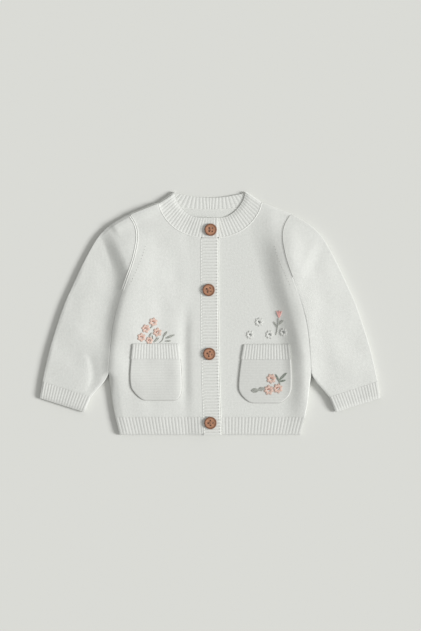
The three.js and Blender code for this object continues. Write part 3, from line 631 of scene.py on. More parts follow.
@dataclass(frozen=True)
class KnitFinish:
    """Matt cotton knit with columns of V-shaped stitches, read from the cloth's own places.

    Attributes:
        name: The material's name.
        wale: Width of a column of stitches, in millimetres.
        course: Height of a row of stitches, in millimetres.
        crest: Colour on top of the yarn.
        gap: Colour between the stitches: painted shade in the hollows there.
        relief: Depth of the stitches, in millimetres.
        lean: How many rows the V's legs rise over half a column.
        painted_groove_shade: Painted shade: how much of the crest's colour is taken away in the groove between two
            ribs.
    """

    name: str
    wale: float = 1.93
    course: float = 1.5
    crest: tuple[float, float, float] = (0.728, 0.737, 0.704)
    gap: tuple[float, float, float] = (0.556, 0.566, 0.538)
    relief: float = 0.115
    lean: float = 1.0
    painted_groove_shade: float = 0.0

    def material(self) -> bpy.types.Material:
        """Build the material.

        Returns:
            A material whose stitch height is a hump across each leg of the V, times a wave along
            the leg, which leans upwards away from the middle of its column.
        """
        shader = Shader(self.name)
        place = shader.put("ShaderNodeUVMap", uv_map="cloth").outputs[0]
        split = shader.put("ShaderNodeSeparateXYZ", {0: place})
        across = shader.math("FRACT", shader.math("DIVIDE", split.outputs[0], self.wale * MM))
        leg = shader.math("MULTIPLY", shader.math("ABSOLUTE", shader.math("SUBTRACT", across, 0.5)), 2.0)
        hump = shader.math("SINE", shader.math("MULTIPLY", leg, math.pi))
        rows = shader.math("DIVIDE", split.outputs[1], self.course * MM)
        risen = shader.math("SUBTRACT", rows, shader.math("MULTIPLY", leg, self.lean))
        wave = shader.math("COSINE", shader.math("MULTIPLY", risen, 2 * math.pi))
        stitch = shader.math("MULTIPLY", hump, shader.math("MULTIPLY_ADD", wave, 0.3, 0.7))
        yarn = shader.noise(shader.object_place(), 420.0, 3.0)
        fuzz = shader.noise(shader.object_place(), 2200.0, 2.0)
        uneven = shader.math("MULTIPLY_ADD", yarn, 1.3, shader.math("MULTIPLY", fuzz, 0.25))
        height = shader.math("ADD", stitch, uneven)
        # Painted shade: the colour falls from the crest colour to the darker gap colour where the stitch height is
        # low; the yarn noise adds random tone.
        shade = shader.math("MULTIPLY_ADD", stitch, 0.5, shader.math("MULTIPLY", yarn, 0.72))
        # Painted shade: a point attribute darkens the grooves between ribs.
        if self.painted_groove_shade:
            depth = shader.put("ShaderNodeAttribute", attribute_name="painted_groove_shade").outputs["Fac"]
            shade = shader.math("MULTIPLY_ADD", depth, -self.painted_groove_shade, shade)
        shader.colour(shader.ramp(shade, self.gap, self.crest))
        shader.bump(height, self.relief * MM)
        shader.set(Roughness=0.95, Sheen_Weight=0.2, Sheen_Roughness=0.6, Specular_IOR_Level=0.2)
        return shader.material


@dataclass(frozen=True)
class ThreadFinish:
    """Soft embroidery or sewing thread in one colour.

    Attributes:
        name: The material's name.
        light: Colour where the thread catches the light.
        dark: Colour in its twists.
    """

    name: str
    light: tuple[float, float, float]
    dark: tuple[float, float, float]

    def material(self) -> bpy.types.Material:
        """Build the material: two tones of a fine noise, with the noise as relief."""
        shader = Shader(self.name)
        grain = shader.noise(shader.object_place(), 900.0, 3.0)
        shader.colour(shader.ramp(grain, self.dark, self.light))
        shader.bump(grain, 0.15 * MM)
        shader.set(Roughness=0.7, Sheen_Weight=0.15, Specular_IOR_Level=0.3)
        return shader.material


@dataclass(frozen=True)
class ShellFinish:
    """Brown coconut shell, mottled, darker round its rim and a little polished."""

    name: str = "coconut_button"
    light: tuple[float, float, float] = (0.56, 0.29, 0.175)
    dark: tuple[float, float, float] = (0.17, 0.07, 0.035)

    def material(self) -> bpy.types.Material:
        """Build the material: streaks of noise, stretched along one way, between two browns."""
        shader = Shader(self.name)
        place = shader.put("ShaderNodeMapping", {0: shader.object_place(), 3: (1.0, 3.0, 1.0)}).outputs[0]
        streak = shader.noise(place, 260.0, 5.0)
        middle = shader.put("ShaderNodeAttribute", attribute_name="from_middle").outputs["Fac"]
        face = shader.put("ShaderNodeMapRange", {0: middle, 1: 5.0, 2: 6.6, 3: 1.2, 4: 0.1}).outputs[0]
        shader.colour(shader.ramp(shader.math("MULTIPLY", streak, face), self.dark, self.light))
        shader.bump(streak, 0.05 * MM)
        shader.set(Roughness=0.42, Specular_IOR_Level=0.45)
        return shader.material


KNIT = KnitFinish("cream_knit")
RIB = KnitFinish("cream_rib", crest=(0.73, 0.74, 0.705), gap=(0.57, 0.575, 0.55), relief=0.12)
EDGE_RIB = KnitFinish("cream_edge_rib", crest=(0.694, 0.703, 0.67), gap=(0.542, 0.546, 0.523), relief=0.12)
# Its crest is lighter to make up for the painted shade in the grooves between its ribs.
BAND_RIB = KnitFinish("cream_band_rib", crest=(0.78, 0.79, 0.753), gap=(0.555, 0.56, 0.534), relief=0.1, painted_groove_shade=0.36)
PURL = KnitFinish(
    "cream_pocket", course=3.3, crest=(0.654, 0.663, 0.631), gap=(0.532, 0.537, 0.514), relief=0.09, lean=0.2
)
# Painted shade: a dark cord laid where the fold at the wearer's left armhole is shaded.
CREASE_SHADE_THREAD = ThreadFinish("painted_crease_shade", (0.5, 0.505, 0.48), (0.37, 0.375, 0.355))
# Painted shade: this darker thread stands for the shade in the sunken fashioning marks and along the pockets' edges.
SEAM_SHADE_THREAD = ThreadFinish("painted_seam_shade_thread", (0.57, 0.57, 0.54), (0.42, 0.42, 0.4))
ECRU_THREAD = ThreadFinish("ecru_thread", (0.77, 0.775, 0.74), (0.64, 0.645, 0.62))
CREAM_THREAD = ThreadFinish("cream_thread", (0.81, 0.815, 0.78), (0.67, 0.675, 0.645))
PEACH_THREAD = ThreadFinish("peach_thread", (0.77, 0.6, 0.52), (0.62, 0.43, 0.36))
ROSE_THREAD = ThreadFinish("rose_thread", (0.6, 0.36, 0.29), (0.42, 0.21, 0.16))
PINK_THREAD = ThreadFinish("pink_thread", (0.88, 0.52, 0.48), (0.72, 0.34, 0.31))
LEAF_THREAD = ThreadFinish("leaf_thread", (0.35, 0.39, 0.335), (0.19, 0.22, 0.185))
SAGE_THREAD = ThreadFinish("sage_thread", (0.53, 0.54, 0.5), (0.36, 0.37, 0.335))
GREY_THREAD = ThreadFinish("grey_thread", (0.36, 0.37, 0.35), (0.2, 0.21, 0.2))
RUST_THREAD = ThreadFinish("rust_thread", (0.5, 0.27, 0.17), (0.32, 0.15, 0.09))
SHELL = ShellFinish()


class Wardrobe:
    def __init__(self) -> None:
        """Start with no material made."""
        self.made: dict[str, bpy.types.Material] = {}

    def dress(
        self, obj: bpy.types.Object, finish: KnitFinish | ThreadFinish | ShellFinish, slot: str, *nodes: str
    ) -> bpy.types.Object:
        """Give a piece its finish and its place in the frame.

        Args:
            obj: The piece.
            finish: What it is made of.
            slot: The record's material slot; not used.
            nodes: The solids that it stands for, if any.

        Returns:
            The piece.
        """
        if finish.name not in self.made:
            self.made[finish.name] = finish.material()
        obj.data.materials.clear()
        obj.data.materials.append(self.made[finish.name])
        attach(obj, "root")
        if nodes:
            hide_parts(*nodes)
        log.info("%s: %d faces", obj.name, len(obj.data.polygons))
        return obj

    def cut(self, obj: bpy.types.Object, points: Array, rests_on: list[str]) -> None:
        """Work out a piece of cloth's width, length and area from its middle surface; nothing is kept.

        Args:
            obj: The piece; not used.
            points: Its middle surface without ribs, rows by columns, all round on a tube.
            rests_on: What it lies on; not used.
        """
        across = np.linalg.norm(np.diff(points, axis=1), axis=2).sum(1).max() * MM
        length = np.linalg.norm(np.diff(points, axis=0), axis=2).sum(0).max() * MM
        corners = points[:-1, :-1], points[:-1, 1:], points[1:, 1:], points[1:, :-1]
        diagonals = np.cross(corners[2] - corners[0], corners[3] - corners[1])
        area = np.linalg.norm(diagonals, axis=2).sum() / 2 * MM * MM
        area = min(area, across * length)


def rib_wave(phase: Array) -> Array:
    """Height of 1x1 ribbing: 0 in the groove at each whole number, with a broad round crest between."""
    return 1 - np.abs(np.cos(math.pi * phase)) ** 4


# The garment's pieces


@dataclass(frozen=True)
class NeckLines:
    """The neckband's seam and free edge, which the front and back panels follow."""

    outline: Outline
    laid: LaidCloth
    gap: float = 0.4

    @property
    def along(self) -> Array:
        """Direction of the side fold, from the seam's corner to the band's peak."""
        step = np.subtract(self.outline.neck_peak, self.outline.neck_corner)
        return step / np.linalg.norm(step)

    @property
    def out(self) -> Array:
        """Direction out of the side fold, square to it."""
        return np.array((self.along[1], -self.along[0]))

    def fold_centre(self, point: tuple[float, float], side: Side) -> Array:
        """The middle of the fold's round, a fold radius inside a point on the fold."""
        return (np.array(point) - self.out * self.laid.fold_radius) * (side.value, 1)

    def panel_corner(self, side: Side) -> Array:
        """Where a panel's neck line ends at the shoulder."""
        return (np.array(self.outline.neck_corner) - self.along * self.gap) * (side.value, 1)

    def strip_end(self, rows: Rows, side: Side) -> Array:
        """The strip's end at the buttons: the right one's lies over the left one's."""
        reach = self.laid.band_width / 2
        reach = self.laid.under_shift - reach if side is Side.LEFT else reach
        return np.array((self.laid.band_centre(self.laid.band_top_y) + reach, rows[0][1] + 0.4))

    def run(self, rows: Rows, end: tuple[float, float], side: Side, start: Array, steps: int) -> Array:
        """A line of the neckband from its start at the garment's middle to the side fold.

        Args:
            rows: The line's table.
            end: Its point on the side fold.
            side: The half that it is on.
            start: Its first point.
            steps: How many equal lengths it is cut into.

        Returns:
            The line's points, on a smooth curve through the rows beyond the button bands.
        """
        beyond = [np.array(row) * (side.value, 1) for row in rows if row[0] > 0.6 * self.laid.band_width]
        return spline(np.array([start, *beyond, self.fold_centre(end, side)]), steps)


@dataclass
class Piece:
    """What every sub-assembly is built from: lines, heights and materials.

    Attributes:
        outline: The garment's lines.
        laid: The heights of its cloth.
        wardrobe: Its materials.
    """

    outline: Outline
    laid: LaidCloth
    wardrobe: Wardrobe

    def top(self, side: Side, plan: Array) -> Array:
        """Upper face of one front: its underside plus the cloth, less at a fold."""
        return self.laid.of_front(side, plan) + self.laid.thick * self.laid.edge_round(plan)

    def inset(self, side: Side) -> float:
        """How far a front's edge lies from the bands' middle line."""
        half = self.laid.band_width / 2 + self.outline.seam
        return half + self.laid.under_shift if side is Side.LEFT else -half

    def band_edge(self, side: Side, y: Array) -> Array:
        """A front's edge beside its band."""
        return np.stack([self.laid.band_centre(y) + self.inset(side), y], axis=-1)


@dataclass
class BodyPanels(Piece):
    """The two fronts and the back, in plain knit.

    Attributes:
        neck: The neckband's lines.
        cell: Size of a grid cell.
        hold: How close to a side line the grid bends with it.
    """

    neck: NeckLines
    cell: float = 1.7
    hold: float = 3.0

    def outside(self, side: Side) -> Array:
        """Side seam and armhole, from the hem's ribbing up to the shoulder."""
        return chain(self.outline.side_seam(side, 84), self.outline.armhole(side, 64)[::-1])

    def shoulder(self, side: Side) -> Array:
        """Shoulder seam, from the neck out, its points closer together near its tip."""
        tip = np.array(self.outline.shoulder) * (side.value, 1)
        share = np.r_[np.linspace(0, 0.94, 24), 0.965, 0.985, 0.997, 1][:, None]
        return self.neck.panel_corner(side) * (1 - share) + tip * share

    def neck_line(self, side: Side) -> Array:
        """A front's neck line, from the band's edge to the shoulder seam.

        Args:
            side: The front.

        Returns:
            The neckband's seam moved down by the gap, cut off where it meets the band's edge.
        """
        rows, corner = self.outline.neck_seam_rows, self.outline.neck_corner
        seam = self.neck.run(rows, corner, side, self.neck.strip_end(rows, side), 90)
        clear = beside(seam, -side.value * self.neck.gap)
        edge_x = self.laid.band_centre(self.laid.band_top_y) + self.inset(side)
        first = int(np.argmax(side.value * (clear[:, 0] - edge_x) > 0.4))
        before, after = clear[first - 1], clear[first]
        start = before + (edge_x - before[0]) / (after[0] - before[0]) * (after - before)
        line = np.array([start, *clear[first:], self.neck.panel_corner(side)])
        return evenly(line, round(60 / self.cell))

    def front_plan(self, side: Side) -> Array:
        """A front's grid in plan, from the hem's ribbing up and from the band outwards."""
        outside = self.outside(side)
        line = self.neck_line(side)
        low = self.outline.hem_y + self.outline.rib_depth + self.outline.seam / 2
        inside = self.band_edge(side, np.linspace(low, line[0, 1], len(outside)))
        top = chain(line, self.shoulder(side))
        return patch(below(top, inside[0], outside[0]), top, inside, outside, self.hold)

    def front(self, side: Side) -> None:
        """Make one front: its upper face follows its underside, a cloth's thickness higher."""
        plan = self.front_plan(side)
        low = self.laid.of_front(side, plan)
        obj = walled(f"knit_front_{side.word}", raised(plan, self.top(side, plan)), raised(plan, low), plan)
        self.wardrobe.dress(obj, KNIT, "knit", f"front_{side.word}")
        self.wardrobe.cut(obj, raised(plan, low), ["knit_back"])

    def back(self) -> None:
        """Make the back: level, and rounded up where it meets the folds."""
        rows, corner = self.outline.back_seam_rows, self.outline.neck_corner
        halves = {side: self.neck.run(rows, corner, side, np.array(rows[0]), 34) for side in Side}
        seam = beside(chain(halves[Side.RIGHT][::-1], halves[Side.LEFT]), -self.neck.gap)
        neck = np.array([self.neck.panel_corner(Side.RIGHT), *seam, self.neck.panel_corner(Side.LEFT)])
        top = chain(self.shoulder(Side.RIGHT)[::-1], neck, self.shoulder(Side.LEFT))
        left, right = self.outside(Side.RIGHT), self.outside(Side.LEFT)
        plan = patch(below(top, left[0], right[0]), top, left, right, self.hold)
        thick = self.laid.thick
        outer = raised(plan, thick - thick * self.laid.edge_round(plan))
        inner = raised(plan, np.full(plan.shape[:2], thick))
        obj = walled("knit_back", outer, inner, plan)
        self.wardrobe.dress(obj, KNIT, "knit", "back")
        self.wardrobe.cut(obj, inner, [])

    def build(self) -> None:
        """Make the back and both fronts."""
        self.back()
        for side in Side:
            self.front(side)


@dataclass(frozen=True)
class RibShape:
    """The relief of 1x1 ribbing.

    Attributes:
        crest: How far a rib stands over the cloth's nominal face.
        groove: How far the groove beside it lies under that face.
        cells: Grid columns in one rib.
    """

    crest: float = 0.15
    groove: float = 0.12
    cells: int = 8

    def face(self, phase: Array) -> Array:
        """Height over the nominal face at a phase counted in ribs."""
        return rib_wave(phase) * (self.crest + self.groove) - self.groove

    def underside(self, phase: Array) -> Array:
        """Height over the surface below, where the crests touch it."""
        return (1 - rib_wave(phase)) * (self.crest + self.groove)


RIBBED = RibShape()


@dataclass
class HemRibbing(Piece):
    """Ribbing along the hem: two fronts and the back.

    Attributes:
        pitch: Distance from rib to rib.
        rows: Grid rows in its depth.
    """

    pitch: float = 3.85
    rows: int = 12

    def cast_off(self, rows: int) -> Array:
        """Share of the thickness along the depth: rounded off at the open edge."""
        return np.sqrt(1 - (1 - np.clip(np.linspace(0.02, 6, rows + 1), 0, 1)) ** 2)[:, None]

    def front(self, side: Side) -> None:
        """Make one front's ribbing, its ribs spread evenly from the band to the side.

        Its heights are read half a millimetre further in, so that its side edge stands square.

        Args:
            side: The front.
        """
        high = self.outline.hem_y + self.outline.rib_depth - self.outline.seam / 2
        low_in, high_in = self.band_edge(side, np.array([self.outline.hem_y, high]))
        low_out = np.array((side.value * self.outline.side_rows[-1][0], self.outline.hem_y))
        high_out = np.array((side.value * self.outline.side_rows[-2][0], high))
        ribs = round(abs(low_out[0] - low_in[0]) / self.pitch)
        columns = ribs * RIBBED.cells
        bottom, top = evenly(np.array([low_in, low_out]), columns), evenly(np.array([high_in, high_out]), columns)
        left, right = evenly(np.array([low_in, high_in]), self.rows), evenly(np.array([low_out, high_out]), self.rows)
        plan = patch(bottom, top, left, right)
        phase = np.linspace(0, ribs, columns + 1)
        further_in = plan * (0.995, 1.0)
        low = self.laid.of_front(side, further_in)
        cloth = self.laid.thick * self.laid.edge_round(further_in) + RIBBED.face(phase)
        obj = walled(
            f"rib_hem_front_{side.word}", raised(plan, low + cloth * self.cast_off(self.rows)), raised(plan, low), plan
        )
        self.wardrobe.dress(obj, EDGE_RIB, "rib", f"hem_front_{side.word}")
        self.wardrobe.cut(obj, raised(plan, low), ["rib_hem_back"])

    def back(self) -> None:
        """Make the back's ribbing, its ribs facing down."""
        high = self.outline.hem_y + self.outline.rib_depth - self.outline.seam / 2
        low_x, high_x = self.outline.side_rows[-1][0], self.outline.side_rows[-2][0]
        ribs = round(2 * low_x / self.pitch)
        columns = ribs * RIBBED.cells
        share = np.linspace(-1, 1, columns + 1)
        depth = np.linspace(0, 1, self.rows + 1)[:, None]
        half = low_x + depth * (high_x - low_x)
        y = self.outline.hem_y + depth * (high - self.outline.hem_y)
        plan = np.stack([half * share, y + 0 * share], axis=-1)
        thick = self.laid.thick
        phase = np.linspace(0, ribs, columns + 1)
        outer = np.minimum(thick - 0.4, thick * (1 - self.laid.edge_round(plan)) + RIBBED.underside(phase))
        obj = walled("rib_hem_back", raised(plan, outer), raised(plan, np.full(outer.shape, thick)), plan)
        self.wardrobe.dress(obj, EDGE_RIB, "rib", "hem_back")
        self.wardrobe.cut(obj, raised(plan, 0 * outer), [])

    def build(self) -> None:
        """Make the ribbing of the back and both fronts."""
        self.back()
        for side in Side:
            self.front(side)


@dataclass
class ButtonBands(Piece):
    """The two bands down the front, with ribs across them; the right front's lies on top.

    Attributes:
        pitch: Distance from rib to rib.
        columns: Grid columns in a band's width.
    """

    pitch: float = 3.75
    columns: int = 18

    def plan(self, shift: float, rows: int) -> Array:
        """A band's grid in plan, from the hem up."""
        y = np.linspace(self.outline.hem_y, self.laid.band_top_y - self.outline.seam, rows + 1)[:, None]
        x = self.laid.band_centre(y) + shift + self.laid.band_width / 2 * self.across
        return np.stack([x, y + 0 * x], axis=-1)

    @property
    def across(self) -> Array:
        """Places of the columns, from -1 to 1, with one more close to the free edge."""
        return np.r_[np.linspace(-1, 1, self.columns)[:-1], 0.97, 1]

    def band(self, name: str, node: str, shift: float, base: float, relief: float, rests_on: list[str]) -> None:
        """Make one band.

        Args:
            name: The piece's name.
            node: The solid that it stands for.
            shift: How far it lies to the wearer's left of the bands' middle line.
            base: Height of its underside.
            relief: Share of the ribs' full relief.
            rests_on: What it lies on.
        """
        length = self.laid.band_top_y - self.outline.seam - self.outline.hem_y
        ribs = round(length / self.pitch)
        rows = ribs * RIBBED.cells
        plan = self.plan(shift, rows)
        rounding = np.sqrt(1 - np.clip((self.across - 0.97) / 0.03, 0, 0.9) ** 2)
        phase = np.linspace(0, ribs, rows + 1)[:, None]
        edge = np.clip((1 - np.abs(self.across)) / 0.12, 0, 1)
        face = relief * RIBBED.face(phase) * (0.35 + 0.65 * ease(edge))
        low = np.full(plan.shape[:2], base)
        obj = walled(name, raised(plan, low + (self.laid.thick + face) * rounding), raised(plan, low), plan[..., ::-1])
        # Painted shade: how deep each row lies in a groove between ribs, which the band's finish paints darker.
        depth = np.broadcast_to(1 - rib_wave(phase), (2, *low.shape)).astype(np.float32)
        obj.data.attributes.new("painted_groove_shade", "FLOAT", "POINT").data.foreach_set("value", depth.ravel())
        self.wardrobe.dress(obj, BAND_RIB, "rib", node)
        self.wardrobe.cut(obj, raised(plan, low), rests_on)

    def build(self) -> None:
        """Make the under band, which the other hides but for a sliver, and the upper one."""
        self.band("rib_button_band", "button_band", self.laid.under_shift, self.laid.base, 0.15, ["knit_back"])
        self.band("rib_buttonhole_band", "buttonhole_band", 0.0, self.laid.over_base, 3.2, ["rib_button_band"])


@dataclass
class Neckband(Piece):
    """One ribbed strip from the upper band's edge, round the neck and back under that edge.

    Attributes:
        neck: The strip's lines.
        rows: Grid rows across it.
        front_ribs: Ribs on each front.
        back_ribs: Ribs across the back.
        turn_ribs: Ribs round each side fold.
    """

    neck: NeckLines
    rows: int = 9
    front_ribs: int = 22
    back_ribs: int = 22
    turn_ribs: int = 2

    def lines(self, side: Side | None, steps: int) -> Array:
        """The strip's grid in plan on one front, or across the back.

        Args:
            side: The front, from the buttons outwards, or None for the back, from right to left.
            steps: How many columns it has, less one.

        Returns:
            Columns by rows of points, ruled straight from the seam to the free edge.
        """
        if side is None:
            tables = self.outline.back_seam_rows, self.outline.back_edge_rows
            pair = [self.back_line(rows, end, steps) for rows, end in zip(tables, self.ends())]
            share = np.linspace(-1, 1, steps + 1)
            drawn_in = steps / 2 * (1 + np.sign(share) * np.abs(share) ** 1.3)
            pair[0] = np.stack([np.interp(drawn_in, np.arange(steps + 1), column) for column in pair[0].T], axis=1)
        else:
            tables = self.outline.neck_seam_rows, self.outline.neck_edge_rows
            pair = [
                self.neck.run(rows, end, side, self.neck.strip_end(rows, side), steps)
                for rows, end in zip(tables, self.ends())
            ]
        v = self.share[:, None]
        return (1 - v) * pair[0][:, None] + v * pair[1][:, None]

    @property
    def share(self) -> Array:
        """Places of the rows from the seam, 0, to the free edge, 1, with one more close to that edge."""
        return np.r_[np.linspace(0, 0.95, self.rows), 0.985, 1]

    def ends(self) -> tuple[tuple[float, float], tuple[float, float]]:
        """The seam's and the free edge's points on the side fold."""
        return self.outline.neck_corner, self.outline.neck_peak

    def back_line(self, rows: Rows, end: tuple[float, float], steps: int) -> Array:
        """A line across the back, from the right side fold to the left one."""
        right, left = (self.neck.run(rows, end, side, np.array(rows[0]), steps // 2) for side in Side)
        return chain(right[::-1], left)

    def rolled(self, relief: Array) -> Array:
        """Round a face off at the strip's free edge, by a share of its height across the rows."""
        return relief * np.sqrt(1 - np.clip((self.share - 0.8) / 0.2, 0, 0.8) ** 2)

    def on_front(self, side: Side) -> tuple[Array, Array, Array]:
        """Outer points, inner points and phase on one front, from the buttons outwards."""
        ribs = self.front_ribs
        plan = self.lines(side, ribs * RIBBED.cells)
        phase = np.linspace(0, ribs, ribs * RIBBED.cells + 1)[:, None]
        away = np.abs(plan[..., 0] - self.laid.band_centre(plan[..., 1])) - self.laid.band_width / 2
        shown = ease((away - 0.6) / 1.5) if side is Side.LEFT else 0.25 + 0.75 * ease((away + 9) / 8)
        low = self.laid.of_front(side, plan)
        high = low + self.rolled(self.laid.thick + RIBBED.face(phase) * shown)
        return raised(plan, high), raised(plan, low), phase

    def on_back(self) -> tuple[Array, Array, Array]:
        """Outer points below, inner points above and phase across the back.

        Returns:
            The two faces. An inner rib lies over each outer groove, as 1x1 ribbing has it, and
            the ribs fade out beside the side folds.
        """
        ribs = self.back_ribs
        plan = self.lines(None, ribs * RIBBED.cells)
        phase = np.linspace(0, ribs, ribs * RIBBED.cells + 1)[:, None]
        near = ease(np.minimum(phase, ribs - phase) / 1.5)
        inner = self.laid.thick + RIBBED.face(phase + 0.5) * near + 0 * self.share
        return raised(plan, RIBBED.underside(phase) * near + 0 * inner), raised(plan, inner), phase

    def on_turn(self, side: Side) -> tuple[Array, Array, Array]:
        """Outer and inner points and phase round one side fold, from the front's face to the back's.

        Args:
            side: The fold.

        Returns:
            The half circle's inner columns: each point lies at a radius from the fold's middle.
        """
        steps = self.turn_ribs * RIBBED.cells
        turn = np.arange(1, steps)[:, None]
        angle = math.pi * (0.5 - turn / steps)
        phase = self.turn_ribs * turn / steps
        corner, peak = (np.array(point) for point in self.ends())
        line = corner + self.share[:, None] * (peak - corner)
        fold, middle = self.laid.fold_radius, self.laid.thick + self.outline.seam / 2
        lift = RIBBED.face(phase) * np.clip(angle / math.pi + 0.5, 0, 1) - RIBBED.underside(phase) * (turn / steps)

        def at(radius: Array) -> Array:
            reach = (radius * np.cos(angle) - fold + 0 * line[:, 0])[..., None]
            plan = (line + self.neck.out * reach) * (side.value, 1)
            return raised(plan, middle + radius * np.sin(angle) + 0 * line[:, 0])

        return at(fold + 0.6 * lift), at(np.full_like(lift, self.outline.seam / 2)), phase

    def build(self) -> None:
        """Make the strip from its five stretches, with distances along its middle and across it as its places on the
        knit.
        """
        right, left = self.on_front(Side.RIGHT), self.on_front(Side.LEFT)
        turn_right, turn_left = self.on_turn(Side.RIGHT), self.on_turn(Side.LEFT)
        stretches = [right, turn_right, self.on_back()]
        stretches += [tuple(part[::-1] for part in stretch) for stretch in (turn_left, left)]
        outer, inner = (np.concatenate([stretch[k] for stretch in stretches]) for k in (0, 1))
        middle = inner[:, self.rows // 2]
        across = np.r_[0, np.cumsum(np.linalg.norm(np.diff(middle, axis=0), axis=1))]
        depth = self.share * np.linalg.norm(inner[0, -1] - inner[0, 0])
        uv = np.stack(np.meshgrid(across, depth, indexing="ij"), axis=-1)
        obj = walled("rib_neckband", outer, inner, uv)
        self.wardrobe.dress(obj, RIB, "rib", "neckband")
        self.wardrobe.cut(obj, inner.transpose(1, 0, 2), ["knit_back"])


@dataclass
class FlatTube(Piece):
    """Flattened tubes, folded along both edges: the shared way of the sleeves and cuffs.

    Attributes:
        turn_steps: Grid columns round each folded edge.
    """

    turn_steps: int = 10

    def rings(self, plan: Array, phase: Array | None, bottom_rise: Array | float = 0.0) -> tuple[Array, Array, Array]:
        """Carry a flat ring along a grid in plan.

        Args:
            plan: Rows along the tube by columns from its inner edge to its outer edge.
            phase: Ribs' phase on each column, or None for plain knit.
            bottom_rise: How far the underside stands off the surface below.

        Returns:
            Outer points, inner points and the upper face's plan. That face lies at the front layer's
            height, each edge is half an ellipse with its corners filled out, and the underside is level.
        """
        fold = self.outline.turn
        ends = plan[:, 3:4] - plan[:, :1], plan[:, -4:-3] - plan[:, -1:]
        into, back = (end / np.linalg.norm(end, axis=2, keepdims=True) for end in ends)
        share = np.linspace(0, 1, plan.shape[1])[:, None]
        upper = plan + fold * ((1 - share) ** 6 * into + share**6 * back)
        low = self.laid.front(upper)
        face = 0 if phase is None else RIBBED.face(phase)
        groove = 0 if phase is None else RIBBED.underside(phase)
        top = raised(upper, low + self.laid.thick + face), raised(upper, low)
        under = raised(upper, bottom_rise + groove + 0 * low), raised(upper, self.laid.thick + 0 * low)
        angle = (np.arange(1, self.turn_steps) / self.turn_steps * math.pi)[None, :]

        def turned(column: int, inward: Array, k: int) -> Array:
            swing = angle if column else angle[:, ::-1]
            high, deep = top[k][:, column, 2:], under[k][:, column, 2:]
            across, up = np.sin(swing)[..., None], np.cos(swing)
            reach = (fold, self.outline.seam / 2)[k] * across**0.42
            height = (high + deep) / 2 + (high - deep) / 2 * np.sign(up) * np.abs(up) ** 0.42
            return raised(upper[:, column, None] - inward * reach, height)

        sides = [(turned(-1, back, k), turned(0, into, k)) for k in (0, 1)]
        outer, inner = (
            np.concatenate([top[k], sides[k][0], under[k][:, ::-1], sides[k][1]], axis=1) for k in (0, 1)
        )
        return outer, inner, upper

    def places(self, outer: Array, along: Array) -> Array:
        """Unroll rings into places on the cloth.

        Args:
            outer: Rings of points.
            along: For each row, how far it is along the tube.

        Returns:
            Distances round each ring from its upper face's middle, with the first column again at
            the end, and distances along.
        """
        wrapped = np.concatenate([outer, outer[:, :1]], axis=1)
        steps = np.linalg.norm(np.diff(wrapped, axis=1), axis=2)
        around = np.concatenate([np.zeros((len(outer), 1)), np.cumsum(steps, axis=1)], axis=1)
        half = np.linalg.norm(outer[:, self.top_columns - 1] - outer[:, 0], axis=1, keepdims=True) / 2
        return np.stack([around - half, along[:, None] + 0 * around], axis=-1)

    @property
    def top_columns(self) -> int:
        """Grid columns on the upper face."""
        raise NotImplementedError


@dataclass
class Sleeves(FlatTube):
    """Plain knit sleeves from the armhole to the cuff.

    Attributes:
        across: Grid columns across a sleeve's upper face.
        length: Grid rows along it.
    """

    across: int = 52
    length: int = 124

    @property
    def top_columns(self) -> int:
        """Grid columns on the upper face."""
        return self.across + 1

    def plan(self, side: Side) -> Array:
        """A sleeve's grid: rows from the armhole to the cuff, columns from its inner to its outer edge."""
        line = self.outline
        start = beside(line.armhole(side, self.across), side.value * line.seam)
        outer, inner = line.sleeve_outer(side, self.length), line.sleeve_inner(side, self.length)
        start[0] = outer[0] = (side.value * (line.shoulder[0] + line.seam), line.shoulder[1] - line.seam / 2)
        start[-1] = inner[0] = (side.value * (line.underarm[0] + line.abut), line.underarm[1])
        end = evenly(np.array([outer[-1], inner[-1]]), self.across)
        return patch(start[::-1], end[::-1], inner, outer)

    def sleeve(self, side: Side) -> None:
        """Make one sleeve."""
        plan = self.plan(side)
        outer, inner, upper = self.rings(plan, None)
        middle = upper[:, self.across // 2]
        along = -np.r_[0, np.cumsum(np.linalg.norm(np.diff(middle, axis=0), axis=1))]
        obj = walled(f"knit_sleeve_{side.word}", outer, inner, self.places(outer, along), closed=True)
        self.wardrobe.dress(obj, KNIT, "knit", f"sleeve_{side.word}")
        self.wardrobe.cut(obj, np.concatenate([outer, outer[:, :1]], axis=1), [])

    def build(self) -> None:
        """Make both sleeves."""
        for side in Side:
            self.sleeve(side)


